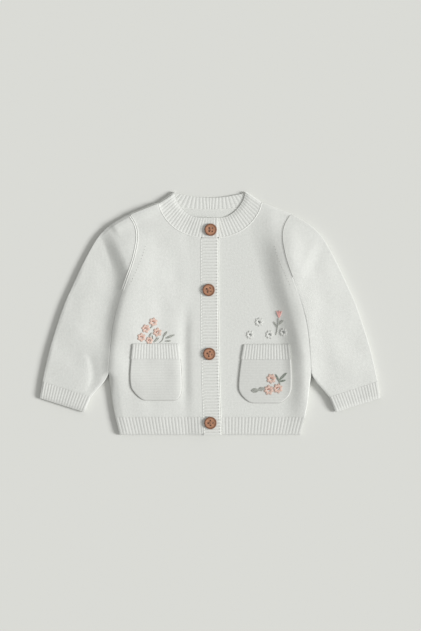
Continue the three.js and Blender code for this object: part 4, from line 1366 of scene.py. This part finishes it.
@dataclass
class Cuffs(FlatTube):
    """Ribbed cuffs.

    Attributes:
        ribs: Ribs on a cuff's upper face.
        rows: Grid rows along it.
    """

    ribs: int = 17
    rows: int = 12

    @property
    def top_columns(self) -> int:
        """Grid columns on the upper face."""
        return self.ribs * RIBBED.cells + 1

    def cuff(self, side: Side) -> None:
        """Make one cuff, ruled from the sleeve's end to its own open edge."""
        line = self.outline
        mirror = (side.value, 1)
        outer_top, inner_top = np.array(line.sleeve_end_outer) * mirror, np.array(line.sleeve_end_inner) * mirror
        outer_low, inner_low = np.array(line.cuff_outer) * mirror, np.array(line.cuff_inner) * mirror
        down = (outer_low - outer_top) / np.linalg.norm(outer_low - outer_top) * line.seam
        top = evenly(np.array([inner_top, outer_top]) + down, self.top_columns - 1)
        low = evenly(np.array([inner_low, outer_low]), self.top_columns - 1)
        v = np.linspace(0, 1, self.rows + 1)[:, None, None]
        plan = (1 - v) * top + v * low
        phase = np.linspace(0, self.ribs, self.top_columns)
        outer, inner, _ = self.rings(plan, phase)
        rounding = np.sqrt(1 - np.clip((v[..., 0] - 0.7) / 0.3, 0, 0.94) ** 2)
        outer[..., 2] = inner[..., 2] + (outer[..., 2] - inner[..., 2]) * rounding
        along = -np.linspace(0, line.rib_depth, self.rows + 1)
        obj = walled(f"rib_cuff_{side.word}", outer, inner, self.places(outer, along), closed=True)
        self.wardrobe.dress(obj, EDGE_RIB, "rib", f"cuff_{side.word}")
        self.wardrobe.cut(obj, np.concatenate([inner, inner[:, :1]], axis=1), [])

    def build(self) -> None:
        """Make both cuffs."""
        for side in Side:
            self.cuff(side)


@dataclass(frozen=True)
class PocketTable:
    """A patch pocket's outline, from its top down.

    Attributes:
        y: Height of each row.
        arm: The side nearer the arm.
        middle: The side nearer the buttons.
    """

    y: tuple[float, ...]
    arm: tuple[float, ...]
    middle: tuple[float, ...]


POCKETS = {
    Side.RIGHT: PocketTable(
        y=(-37.6, -56.2, -75.0, -90.0, -97.0, -102.4, -105.8, -107.0),
        arm=(-95.0, -97.0, -98.4, -97.4, -93.6, -88.6, -84.0, -80.0),
        middle=(-38.8, -36.4, -35.2, -34.8, -35.4, -37.2, -40.6, -44.4),
    ),
    Side.LEFT: PocketTable(
        y=(-38.2, -56.8, -76.0, -92.0, -99.6, -105.0, -109.0, -110.4),
        arm=(97.4, 99.4, 100.4, 100.2, 98.2, 94.2, 89.0, 84.0),
        middle=(41.6, 38.4, 36.0, 35.2, 38.0, 42.6, 48.0, 53.0),
    ),
}


@dataclass
class Pockets(Piece):
    """Patch pockets with a ribbed welt along the top.

    Attributes:
        gap: Distance between a pocket and the front under it.
        bulge: How far a pocket stands off in its middle.
        cloth: Its thickness.
        ribs: Ribs in a welt.
        columns: Grid columns across a bag.
        rows: Grid rows down a bag.
    """

    gap: float = 0.35
    bulge: float = 0.3
    cloth: float = 1.4
    ribs: int = 17
    columns: int = 56
    rows: int = 48

    def plan(self, side: Side, first: float, last: float, rows: int, across: Array) -> Array:
        """A stretch of a pocket's grid in plan.

        Args:
            side: The front that it is sewn on.
            first: Row of the table where the stretch starts.
            last: Row of the table where it ends.
            rows: Grid rows.
            across: Places of the columns, from 0 at the arm's side to 1 at the buttons' side.

        Returns:
            Points ruled straight across between two smooth side lines.
        """
        table = POCKETS[side]
        stack = np.stack([table.y, table.arm, table.middle], axis=1)
        y, arm, middle = spline(stack[math.floor(first) : math.ceil(last) + 1], rows).T[..., None]
        return np.stack([arm + across * (middle - arm), y + 0 * across], axis=-1)

    def low(self, side: Side, plan: Array) -> Array:
        """A pocket's underside: the front's upper face, the gap and a bulge across."""
        span = plan[:, -1:, 0] - plan[:, :1, 0]
        across = (plan[..., 0] - plan[:, :1, 0]) / span
        return self.top(side, plan) + self.gap + self.bulge * 4 * across * (1 - across)

    def rolled(self, plan: Array) -> Array:
        """Share of the thickness: rounded off within 1.4 mm of the sides and the bottom."""
        away, _, _ = away_from(plan, self.edge(plan))
        t = np.clip(away / 1.4, 0.04, 1)
        return 0.25 + 0.75 * np.sqrt(1 - (1 - t) ** 2)

    def edge(self, plan: Array) -> Array:
        """A grid's edge down the arm's side, along the bottom and up the buttons' side."""
        return chain(plan[:, 0], plan[-1], plan[::-1, -1])

    def bag_plan(self, side: Side) -> Array:
        """A bag's grid in plan, its columns closer together towards the sides."""
        across = 0.5 - 0.5 * np.cos(np.linspace(0, math.pi, self.columns + 1))
        plan = self.plan(side, 1, 7, self.rows, across)
        plan[0, :, 1] -= self.outline.seam
        return plan

    def bag(self, side: Side) -> None:
        """Make one pocket's knitted bag."""
        plan = self.bag_plan(side)
        low = self.low(side, plan)
        obj = walled(
            f"knit_pocket_{side.word}", raised(plan, low + self.cloth * self.rolled(plan)), raised(plan, low), plan
        )
        self.wardrobe.dress(obj, PURL, "knit", f"pocket_{side.word}")
        self.wardrobe.cut(obj, raised(plan, low), [f"knit_front_{side.word}"])

    def welt(self, side: Side) -> None:
        """Make one pocket's ribbed welt, its ribs upright."""
        columns = self.ribs * RIBBED.cells
        plan = self.plan(side, 0, 1, 12, np.linspace(0, 1, columns + 1))
        low = self.low(side, plan)
        phase = np.linspace(0, self.ribs, columns + 1)
        v = np.linspace(0, 1, len(plan))[:, None]
        rounding = np.sqrt(1 - np.clip((0.08 - v) / 0.08, 0, 0.9) ** 2)
        face = self.cloth + RIBBED.face(phase)
        obj = walled(f"rib_welt_{side.word}", raised(plan, low + face * rounding), raised(plan, low), plan)
        self.wardrobe.dress(obj, EDGE_RIB, "rib", f"pocket_welt_{side.word}")
        self.wardrobe.cut(obj, raised(plan, low), [f"knit_front_{side.word}"])

    def face(self, side: Side, plan: Array) -> Array:
        """Upper face of a pocket's bag at points inside it."""
        table = POCKETS[side]
        order = np.argsort(table.y)
        arm = np.interp(plan[..., 1], np.array(table.y)[order], np.array(table.arm)[order])
        middle = np.interp(plan[..., 1], np.array(table.y)[order], np.array(table.middle)[order])
        across = (plan[..., 0] - arm) / (middle - arm)
        return self.top(side, plan) + self.gap + self.bulge * 4 * across * (1 - across) + self.cloth

    def build(self) -> None:
        """Make both pockets."""
        for side in Side:
            self.bag(side)
            self.welt(side)


@dataclass
class Buttons(Piece):
    """Four dished coconut buttons with four holes, sewn on with a cross of thread.

    Attributes:
        places: Middle of each button, from the neck down.
        radius: Outside radius.
        thick: Thickness at the rim.
        segments: Grid columns round a button.
        hole: Radius of a hole.
        offset: How far a hole lies from the middle along x and along y.
    """

    places: Rows = ((0.9, 102.8), (-1.6, 28.6), (-0.8, -50.1), (0.6, -135.1))
    radius: float = 7.6
    thick: float = 2.2
    segments: int = 72
    hole: float = 1.1
    offset: float = 1.95
    profile: Rows = (
        (0.0, 0.0), (6.4, 0.0), (7.1, 0.2), (7.5, 0.6), (7.6, 1.0), (7.58, 1.45), (7.4, 1.87), (7.1, 2.1),
        (6.7, 2.2), (6.3, 2.16), (5.95, 2.0), (5.5, 1.88), (4.4, 1.84), (2.2, 1.82), (0.0, 1.82),
    )  # fmt: skip

    @property
    def base(self) -> float:
        """Height of a button's underside, on the crests of the upper band."""
        return self.laid.over_base + self.laid.thick + 0.48 + self.outline.seam

    def turned(self, name: str, profile: Array, segments: int) -> bpy.types.Object:
        """Spin a profile of radius and height round Z; it starts and ends on the axis."""
        angle = np.linspace(0, 2 * math.pi, segments, endpoint=False)
        rim = profile[1:-1]
        ring = np.stack([rim[:, :1] * np.cos(angle), rim[:, :1] * np.sin(angle), rim[:, 1:] + 0 * angle], axis=-1)
        count = ring.shape[0] * segments
        ids = np.arange(count).reshape(ring.shape[:2])
        ids = np.hstack([ids, ids[:, :1]])
        mesh = bpy.data.meshes.new(name)
        points = np.concatenate([ring.reshape(-1, 3), [(0, 0, profile[0, 1]), (0, 0, profile[-1, 1])]])
        caps = [(count, b, a) for a, b in zip(ids[0], ids[0, 1:])]
        caps += [(count + 1, a, b) for a, b in zip(ids[-1], ids[-1, 1:])]
        mesh.from_pydata((points * MM).tolist(), [], quads(ids).tolist() + caps)
        obj = bpy.data.objects.new(name, mesh)
        bpy.context.scene.collection.objects.link(obj)
        return obj

    def pierced(self) -> bpy.types.Mesh:
        """Make one button's mesh about the origin, with its four holes cut through."""
        disc = self.turned("disc", np.array(self.profile), self.segments)
        post = np.array([(0, -1), (self.hole, -1), (self.hole, self.thick + 1), (0, self.thick + 1)])
        posts = self.turned("posts", post, 20)
        copies = bmesh.new()
        for x in (-self.offset, self.offset):
            for y in (-self.offset, self.offset):
                start = len(copies.verts)
                copies.from_mesh(posts.data)
                copies.verts.ensure_lookup_table()
                bmesh.ops.translate(copies, verts=copies.verts[start:], vec=(x * MM, y * MM, 0))
        copies.to_mesh(posts.data)
        copies.free()
        cutter = disc.modifiers.new("holes", "BOOLEAN")
        cutter.object, cutter.operation, cutter.solver = posts, "DIFFERENCE", "EXACT"
        graph = bpy.context.evaluated_depsgraph_get()
        mesh = bpy.data.meshes.new_from_object(disc.evaluated_get(graph))
        for obj in (disc, posts):
            bpy.data.objects.remove(obj)
        mesh.shade_smooth()
        mesh.set_sharp_from_angle(angle=math.radians(40))
        points = np.empty(3 * len(mesh.vertices), np.float32)
        mesh.vertices.foreach_get("co", points)
        away = np.linalg.norm(points.reshape(-1, 3)[:, :2], axis=1) / MM
        mesh.attributes.new("from_middle", "FLOAT", "POINT").data.foreach_set("value", away.astype(np.float32))
        return mesh

    def build(self) -> None:
        """Set each button on the upper band, turned a little its own way, and sew it on."""
        shape = self.pierced()
        paths = []
        for number, (x, y) in enumerate(self.places, 1):
            mesh = shape.copy()
            turn = math.radians(17.0 * number - 20)
            mesh.transform(
                Matrix.Translation((x * MM, y * MM, self.base * MM)) @ Matrix.Rotation(turn, 4, "Z")
            )
            obj = bpy.data.objects.new(f"button_disc_{number}", mesh)
            bpy.context.scene.collection.objects.link(obj)
            self.wardrobe.dress(obj, SHELL, "button", f"button_{number}")
            paths.append(self.sewing(np.array((x, y)), turn))
        points, faces = tube_along(np.concatenate(paths), 0.2, 6)
        thread = write_mesh("thread_on_buttons", points, faces)
        self.wardrobe.dress(thread, RUST_THREAD, "rib")

    def sewing(self, centre: Array, turn: float) -> Array:
        """Threads of a cross through the four holes.

        Args:
            centre: The button's middle.
            turn: Its turn about Z.

        Returns:
            Paths that rise out of one hole, cross the dish and go down the opposite one: the
            height is level over the middle and drops as the fourth power towards the ends.
        """
        t = np.linspace(-1, 1, 13)
        corners = turn + math.pi / 4 + np.repeat([0, math.pi / 2], 3)
        sideways = np.tile([-0.42, 0.0, 0.42], 2)
        reach = self.offset * math.sqrt(2)
        x = centre[0] + reach * t * np.cos(corners)[:, None] - sideways[:, None] * np.sin(corners)[:, None]
        y = centre[1] + reach * t * np.sin(corners)[:, None] + sideways[:, None] * np.cos(corners)[:, None]
        over = np.repeat([0.25, 0.65], 3)[:, None]
        return np.stack([x, y, self.base + self.profile[-1][1] + over - 1.9 * t**4], axis=-1)


@dataclass
class SeamLines(Piece):
    """Linked seams and fashioning marks, as cords of chain stitch along the joins.

    Attributes:
        neck: The neckband's lines.
        panels: The fronts, whose lines the seams follow.
        pockets: The pockets, which are sewn on round their edges.
        stitch: Length of a stitch.
        marks: Line of the fashioning marks inside the wearer's left armhole.
    """

    neck: NeckLines
    panels: BodyPanels
    pockets: Pockets
    stitch: float = 1.9
    marks: Rows = ((79.0, 84.0), (84.0, 68.0), (91.0, 51.0), (99.0, 34.0))

    def cord(self, plan: Array, height: Array, radius: float) -> tuple[Array, Array]:
        """A cord of chain stitches along a line.

        Args:
            plan: The line.
            height: Its height at each point.
            radius: The cord's radius in the middle of a stitch.

        Returns:
            Vertices and faces: the radius swells and shrinks once in each stitch.
        """
        length = np.linalg.norm(np.diff(plan, axis=0), axis=1).sum()
        steps = max(4, round(length / self.stitch * 4))
        path = evenly(raised(plan, height), steps)
        beat = np.abs(np.sin(np.linspace(0, steps / 4 * math.pi, steps + 1)))
        size = radius * (0.86 + 0.14 * beat)
        size[[0, -1]] *= 0.1
        return tube_along(path, size, 8)

    def joined(self, name: str, cords: list[tuple[Array, Array]], finish: ThreadFinish = CREAM_THREAD) -> None:
        """Make one piece from several cords."""
        self.wardrobe.dress(write_mesh(name, *merged(cords)), finish, "knit")

    def fashioning(self, side: Side) -> list[tuple[Array, Array]]:
        """Short sunken stitches in a row inside an armhole, one for every 4 mm, in a darker thread that paints the
        shade in them.
        """
        row = evenly(curve(self.marks, 60, side), 14)
        step = np.diff(row, axis=0)
        starts = row[:-1] + 0.3 * step
        return [self.on_front(side, np.array([a, a + 0.2 * d, a + 0.4 * d]), 0.5, -0.1) for a, d in zip(starts, step)]

    def round_pocket(self, side: Side) -> tuple[Array, Array]:
        """The thin cord that sews a pocket on, just outside its edge, in a darker thread that paints the shadow along
        that edge.
        """
        edge = evenly(self.pockets.edge(self.pockets.bag_plan(side)), 160)
        return self.on_front(side, beside(edge, side.value * 0.35), 0.4, 0.1)

    def on_front(self, side: Side, plan: Array, radius: float, lift: float = 0.0) -> tuple[Array, Array]:
        """A cord on one front's face."""
        return self.cord(plan, self.top(side, plan) + lift, radius)

    def build(self) -> None:
        """Make the seams round the neck, down the bands, over the shoulders and round the armholes."""
        neck, bands, arms, crease_shade, marks = [], [], [], [], []
        for side in Side:
            neck.append(self.on_front(side, beside(self.panels.neck_line(side), 0.2 * side.value), 0.55, -0.05))
            neck.append(self.on_front(side, self.panels.shoulder(side)[1:-1], 0.4, -0.15))
            hole = self.outline.armhole(side, 90)[2:-2]
            if side is Side.RIGHT:
                arms.append(self.on_front(side, beside(hole, -0.9), 0.7, -0.1))
                arms.append(self.on_front(side, beside(hole, 1.3), 0.55, -0.1))
            else:
                arms.append(self.on_front(side, beside(hole, -1.6), 0.45, -0.15))
                # A raised cord in dark thread along the armhole's upper part: painted shade of the crease there.
                crease_shade.append(self.on_front(side, beside(hole[:72], -0.3), 0.7))
            marks += self.fashioning(side)
        y = np.linspace(self.outline.hem_y + 0.5, self.laid.band_top_y - 1, 160)
        centre, half = self.laid.band_centre(y), self.laid.band_width / 2
        face = self.laid.over_base + self.laid.thick
        bands.append(self.cord(np.stack([centre - half - 0.05, y], axis=1), face - 0.16 + 0 * y, 0.5))
        bands.append(self.cord(np.stack([centre + half - 1.1, y], axis=1), face - 0.1 + 0 * y, 0.4))
        beyond = half + self.laid.under_shift + self.outline.seam / 2
        bands.append(self.cord(np.stack([centre + beyond, y], axis=1), self.laid.base + self.laid.thick + 0 * y, 0.4))
        top = np.linspace(centre[-1] - half + 0.6, centre[-1] + half - 0.6, 20)
        level = np.full(20, self.laid.band_top_y - self.outline.seam / 2)
        bands.append(self.cord(np.stack([top, level], axis=1), np.full(20, face - 0.1), 0.45))
        back = Neckband(self.outline, self.laid, self.wardrobe, self.neck).back_line(
            self.outline.back_seam_rows, self.outline.neck_corner, 120
        )[8:-8]
        neck.append(self.cord(beside(back, -0.2), self.laid.thick + 0.25 + 0 * back[:, 0], 0.55))
        self.joined("seam_neck", neck)
        self.joined("seam_bands", bands)
        self.joined("seam_armholes", arms)
        self.joined("seam_fashioning", marks, SEAM_SHADE_THREAD)
        self.joined("armhole_crease_painted_shade", crease_shade, CREASE_SHADE_THREAD)
        self.joined("seam_pockets", [self.round_pocket(side) for side in Side], SEAM_SHADE_THREAD)


# Embroidery


def petal(centre: Array, turn: Array, inner: float, outer: float, spread: float, count: int) -> Array:
    """Straight stitches that fan out to a round petal.

    Args:
        centre: The flower's middle.
        turn: Direction of each petal.
        inner: Distance from the middle to where the stitches start.
        outer: Distance to the petal's tip.
        spread: Half the angle between a petal's outermost stitches.
        count: Stitches in a petal.

    Returns:
        Start and end of each stitch. A stitch turned away from the petal's middle by a share s of
        the spread is shorter by 0.28 times s squared.
    """
    share = np.linspace(-1, 1, count)
    angle = (turn[:, None] + spread * share).ravel()
    reach = np.tile(outer - (outer - inner) * 0.28 * share**2, len(turn))
    way = np.stack([np.cos(angle), np.sin(angle)], axis=1)
    return np.stack([centre + inner * way, centre + reach[:, None] * way], axis=1)


def leaf(start: Array, end: Array, width: float, count: int) -> Array:
    """Slanting satin stitches on both sides of a leaf's vein.

    Args:
        start: The leaf's foot.
        end: Its tip.
        width: Its greatest width.
        count: Stitches on each side.

    Returns:
        Start and end of each stitch: from the vein to an outline whose half width is the sine of
        the share along, to the power of 0.8.
    """
    share = np.linspace(0.06, 0.94, count)
    along = end - start
    normal = np.array((-along[1], along[0])) / np.linalg.norm(along)
    half = width / 2 * np.sin(math.pi * np.clip(share + 0.08, 0, 1)) ** 0.8
    vein = start + share[:, None] * along
    tip = start + np.clip(share + 0.16, 0, 1)[:, None] * along
    sides = [np.stack([vein, tip + sign * half[:, None] * normal], axis=1) for sign in (-1, 1)]
    return np.concatenate(sides)


@dataclass(frozen=True)
class Flower:
    """A flower's place and size: millimetres, with its first petal's direction in degrees."""

    x: float
    y: float
    radius: float
    turn: float
    petals: int = 5


@dataclass(frozen=True)
class Leaf:
    """A leaf from its foot to its tip, with its greatest width, in millimetres."""

    foot: tuple[float, float]
    tip: tuple[float, float]
    width: float


@dataclass
class Spray:
    """One group of motifs on one surface.

    Attributes:
        name: The group's name.
        side: The front that it is on.
        on_pocket: Whether it is worked on the pocket's bag.
        flowers: Its flowers.
        petals: The petals' thread.
        hearts: The thread of the flowers' middles.
        leaves: Its leaves.
        leaf_thread: The leaves' thread.
        stems: Lines in stem stitch.
    """

    name: str
    side: Side
    on_pocket: bool
    flowers: list[Flower]
    petals: ThreadFinish
    hearts: ThreadFinish
    leaves: list[Leaf] = field(default_factory=list)
    leaf_thread: ThreadFinish = SAGE_THREAD
    stems: list[Rows] = field(default_factory=list)


SPRAYS = (
    Spray(
        "cluster", Side.RIGHT, False,
        [
            Flower(-69.8, -10.8, 5.6, 18, 6), Flower(-78.9, -19.0, 5.6, 50, 6), Flower(-64.8, -23.4, 5.8, 80, 6),
            Flower(-84.2, -29.6, 5.6, 30, 6), Flower(-74.6, -33.4, 4.8, 64, 6),
        ],
        PEACH_THREAD, ROSE_THREAD,
        [
            Leaf((-69.6, -36.2), (-62.6, -30.4), 2.6), Leaf((-57.4, -29.0), (-52.6, -22.6), 2.6),
            Leaf((-55.0, -31.4), (-43.6, -26.6), 3.0), Leaf((-55.4, -34.6), (-47.8, -34.0), 2.0),
            Leaf((-75.0, -29.5), (-71.6, -24.0), 1.8), Leaf((-73.4, -18.6), (-70.6, -16.2), 1.5),
            Leaf((-66.4, -34.6), (-65.0, -29.8), 1.6),
        ],
        SAGE_THREAD,
        [((-61.6, -36.2), (-58.0, -33.0), (-56.4, -27.5)), ((-70.4, -27.4), (-70.0, -31.6))],
    ),
    Spray(
        "posy", Side.LEFT, True,
        [Flower(75.4, -80.6, 6.5, 10, 7), Flower(72.4, -94.6, 6.6, 40, 7), Flower(83.6, -92.6, 6.4, 75, 7)],
        PEACH_THREAD, ROSE_THREAD,
        [
            Leaf((85.4, -84.2), (81.0, -75.4), 2.6), Leaf((85.0, -83.2), (94.4, -73.6), 3.0),
            Leaf((84.6, -84.8), (93.2, -82.4), 2.4),
        ],
        LEAF_THREAD,
        [((86.6, -88.0), (85.4, -84.0), (82.0, -76.6))],
    ),
    Spray(
        "sprig", Side.LEFT, True, [], PEACH_THREAD, PEACH_THREAD,
        [Leaf((61.0, -94.6), (51.0, -95.4), 6.0), Leaf((67.6, -92.4), (59.8, -94.2), 5.4)],
        SAGE_THREAD,
        [((68.4, -92.6), (60.0, -94.2), (51.4, -96.4))],
    ),
    Spray(
        "daisies", Side.LEFT, False,
        [
            Flower(49.4, -26.6, 5.4, 12, 8), Flower(60.5, -10.9, 5.8, 0, 8), Flower(73.4, -26.4, 5.6, 22, 8),
            Flower(90.4, -23.4, 5.2, 5, 8),
        ],
        ECRU_THREAD, GREY_THREAD,
        [Leaf((83.6, -18.0), (78.4, -10.6), 3.0), Leaf((84.0, -14.6), (90.4, -8.6), 3.0)],
        SAGE_THREAD,
        [((81.4, -27.0), (83.4, -19.0), (84.8, -5.5))],
    ),
)  # fmt: skip


@dataclass
class Embroidery(Piece):
    """Flowers, leaves and stems in stranded thread.

    Attributes:
        pockets: The pockets, for the height of those worked on them.
        strand: Radius of a stitch in its middle.
        arch: How far a stitch stands up in its middle.
    """

    pockets: Pockets
    strand: float = 0.36
    arch: float = 0.35

    def height(self, spray: Spray, plan: Array) -> Array:
        """Face of the cloth that a spray is worked on."""
        return self.pockets.face(spray.side, plan) if spray.on_pocket else self.top(spray.side, plan)

    def stitches(self, spray: Spray, ends: Array, lift: float = 0.0, strand: float | None = None) -> tuple:
        """Lay stitches on the cloth.

        Args:
            spray: The group they belong to.
            ends: Start and end of each in plan.
            lift: Height added to them all.
            strand: Radius, if not the usual one.

        Returns:
            Vertices and faces: each stitch is a spindle on an arch over the cloth.
        """
        t = np.linspace(0, 1, 6)
        plan = ends[:, :1] + t[:, None] * (ends[:, 1:] - ends[:, :1])
        hump = np.sin(math.pi * t)
        path = raised(plan, self.height(spray, plan) + lift + self.arch * hump)
        radius = (strand or self.strand) * (0.45 + 0.55 * hump**0.5)
        return tube_along(path, radius, 6, 0.9)

    def knots(self, spray: Spray, plan: Array, size: float) -> tuple[Array, Array]:
        """Make small round knots on the cloth: each is a ring of thread wound up to a point."""
        steps = 16
        turn = np.linspace(0, 3.4 * math.pi, steps + 1)
        radius = size * (1 - 0.75 * np.linspace(0, 1, steps + 1))
        ring = np.stack([radius * np.cos(turn), radius * np.sin(turn)], axis=1)
        place = plan[:, None] + ring
        rise = self.height(spray, plan)[:, None] + 0.45 + size * 0.7 * np.linspace(0, 1, steps + 1)
        return tube_along(raised(place, rise), 0.42, 6)

    def sew(self, name: str, finish: ThreadFinish, parts: list[tuple[Array, Array]]) -> None:
        """Make one piece from stitches in one thread."""
        self.wardrobe.dress(write_mesh(name, *merged(parts)), finish, "knit")

    def spray(self, spray: Spray) -> None:
        """Work one group: petals, middles, leaves and stems."""
        if spray.flowers:
            fans, middles = [], []
            for flower in spray.flowers:
                turn = np.radians(flower.turn) + np.arange(flower.petals) * 2 * math.pi / flower.petals
                centre = np.array((flower.x, flower.y))
                spread = 0.74 * math.pi / flower.petals
                ends = petal(centre, turn, 0.28 * flower.radius, flower.radius, spread, 12 - flower.petals)
                fans.append(self.stitches(spray, ends, 0.25))
                around = centre + 0.16 * flower.radius * np.stack([np.cos(turn[:3]), np.sin(turn[:3])], axis=1)
                middles.append(self.knots(spray, around, 0.62))
            self.sew(f"embroidery_{spray.name}_petals", spray.petals, fans)
            self.sew(f"embroidery_{spray.name}_middles", spray.hearts, middles)
        green = [
            self.stitches(spray, leaf(np.array(one.foot), np.array(one.tip), one.width, 9), 0.2, 0.3)
            for one in spray.leaves
        ]
        for rows in spray.stems:
            line = curve(rows, 12)
            green.append(self.stitches(spray, np.stack([line[:-2], line[2:]], axis=1), 0.25, 0.34))
        if green:
            self.sew(f"embroidery_{spray.name}_leaves", spray.leaf_thread, green)

    def bud(self) -> None:
        """Work the pink bud over the daisies' stem: nine upright stitches that fan out."""
        share = np.linspace(-1, 1, 9)
        foot = np.stack([85.0 + 0.5 * share, -5.6 + 0.3 * np.abs(share)], axis=1)
        tip = np.stack([85.2 + 3.4 * share, 2.8 + 0.9 * np.cos(share * 5)], axis=1)
        daisies = SPRAYS[-1]
        part = self.stitches(daisies, np.stack([foot, tip], axis=1), 0.3, 0.42)
        self.sew("embroidery_bud", PINK_THREAD, [part])

    def build(self) -> None:
        """Work every spray and the bud."""
        for spray in SPRAYS:
            self.spray(spray)
        self.bud()


# Room


@dataclass(frozen=True)
class FloorFinish:
    """A plain pale floor."""

    name: str = "pale_floor"
    light: tuple[float, float, float] = (0.664, 0.669, 0.639)

    def material(self) -> bpy.types.Material:
        """Build the material: one colour with a faint unevenness."""
        shader = Shader(self.name)
        soft = shader.noise(shader.object_place(), 3.0)
        darker = tuple(0.99 * value for value in self.light)
        shader.colour(shader.ramp(soft, darker, self.light))
        shader.set(Roughness=0.95, Specular_IOR_Level=0.1)
        return shader.material


@dataclass
class Studio:
    """The floor, the lights and the camera straight above.

    Attributes:
        height: Camera's height over the floor, in metres.
        field: Height of the picture on the floor, in metres.
        aim: Middle of the picture on the floor.
        sensor: Height of the camera's sensor, in millimetres.
        key_power: Strength of the light from the wearer's left.
        key_height: Its angle over the floor, in degrees.
        key_turn: Its angle from the wearer's left towards the neck, in degrees.
        key_spread: The angle that it covers, in degrees.
        fill: Strength of the even light from all round.
    """

    height: float = 3.0
    field: float = 0.7787
    aim: tuple[float, float] = (0.0006, -0.0028)
    sensor: float = 24.0
    key_power: float = 3.75
    key_height: float = 28.0
    key_turn: float = -4.0
    key_spread: float = 20.0
    fill: float = 0.5

    def floor(self) -> None:
        """Lay the floor just under the garment."""
        mesh = bpy.data.meshes.new("floor")
        corners = [(-6, -6, -0.0003), (6, -6, -0.0003), (6, 6, -0.0003), (-6, 6, -0.0003)]
        mesh.from_pydata(corners, [], [(0, 1, 2, 3)])
        mesh.materials.append(FloorFinish().material())
        obj = bpy.data.objects.new("floor", mesh)
        bpy.context.scene.collection.objects.link(obj)

    def camera(self) -> None:
        """Hang the camera: its lens is the sensor's height times the distance over the field's height."""
        data = bpy.data.cameras.new("camera")
        data.sensor_fit = "VERTICAL"
        data.sensor_height = self.sensor
        data.lens = self.sensor * self.height / self.field
        obj = bpy.data.objects.new("camera", data)
        obj.location = (*self.aim, self.height)
        bpy.context.scene.collection.objects.link(obj)
        bpy.context.scene.camera = obj

    def lights(self) -> None:
        """Shine one soft light low from the wearer's left, and light the room evenly."""
        data = bpy.data.lights.new("key", "SUN")
        data.energy = self.key_power
        data.angle = math.radians(self.key_spread)
        obj = bpy.data.objects.new("key", data)
        height, turn = math.radians(self.key_height), math.radians(self.key_turn)
        way = Vector((math.cos(height) * math.cos(turn), math.cos(height) * math.sin(turn), math.sin(height)))
        obj.location = 3 * way
        obj.rotation_euler = way.to_track_quat("Z", "Y").to_euler()
        bpy.context.scene.collection.objects.link(obj)
        world = bpy.data.worlds.new("room")
        world.use_nodes = True
        backdrop = world.node_tree.nodes["Background"]
        backdrop.inputs["Color"].default_value = (1, 1, 0.985, 1)
        backdrop.inputs["Strength"].default_value = self.fill
        bpy.context.scene.world = world

    def build(self) -> None:
        """Set up the floor, camera and lights, with colours shown as they are."""
        self.floor()
        self.camera()
        self.lights()
        bpy.context.scene.view_settings.view_transform = "Standard"


def main() -> None:
    """Build the garment piece by piece in its room."""
    logging.basicConfig(level=logging.INFO, format="%(name)s: %(message)s")
    outline = Outline()
    laid = LaidCloth(outline)
    neck = NeckLines(outline, laid)
    kit = outline, laid, Wardrobe()
    Studio().build()
    panels = BodyPanels(*kit, neck)
    pockets = Pockets(*kit)
    for part in (
        panels,
        HemRibbing(*kit),
        Sleeves(*kit),
        Cuffs(*kit),
        Neckband(*kit, neck),
        ButtonBands(*kit),
        pockets,
        SeamLines(*kit, neck, panels, pockets),
        Embroidery(*kit, pockets),
        Buttons(*kit),
    ):
        part.build()


if __name__ == "__main__":
    main()
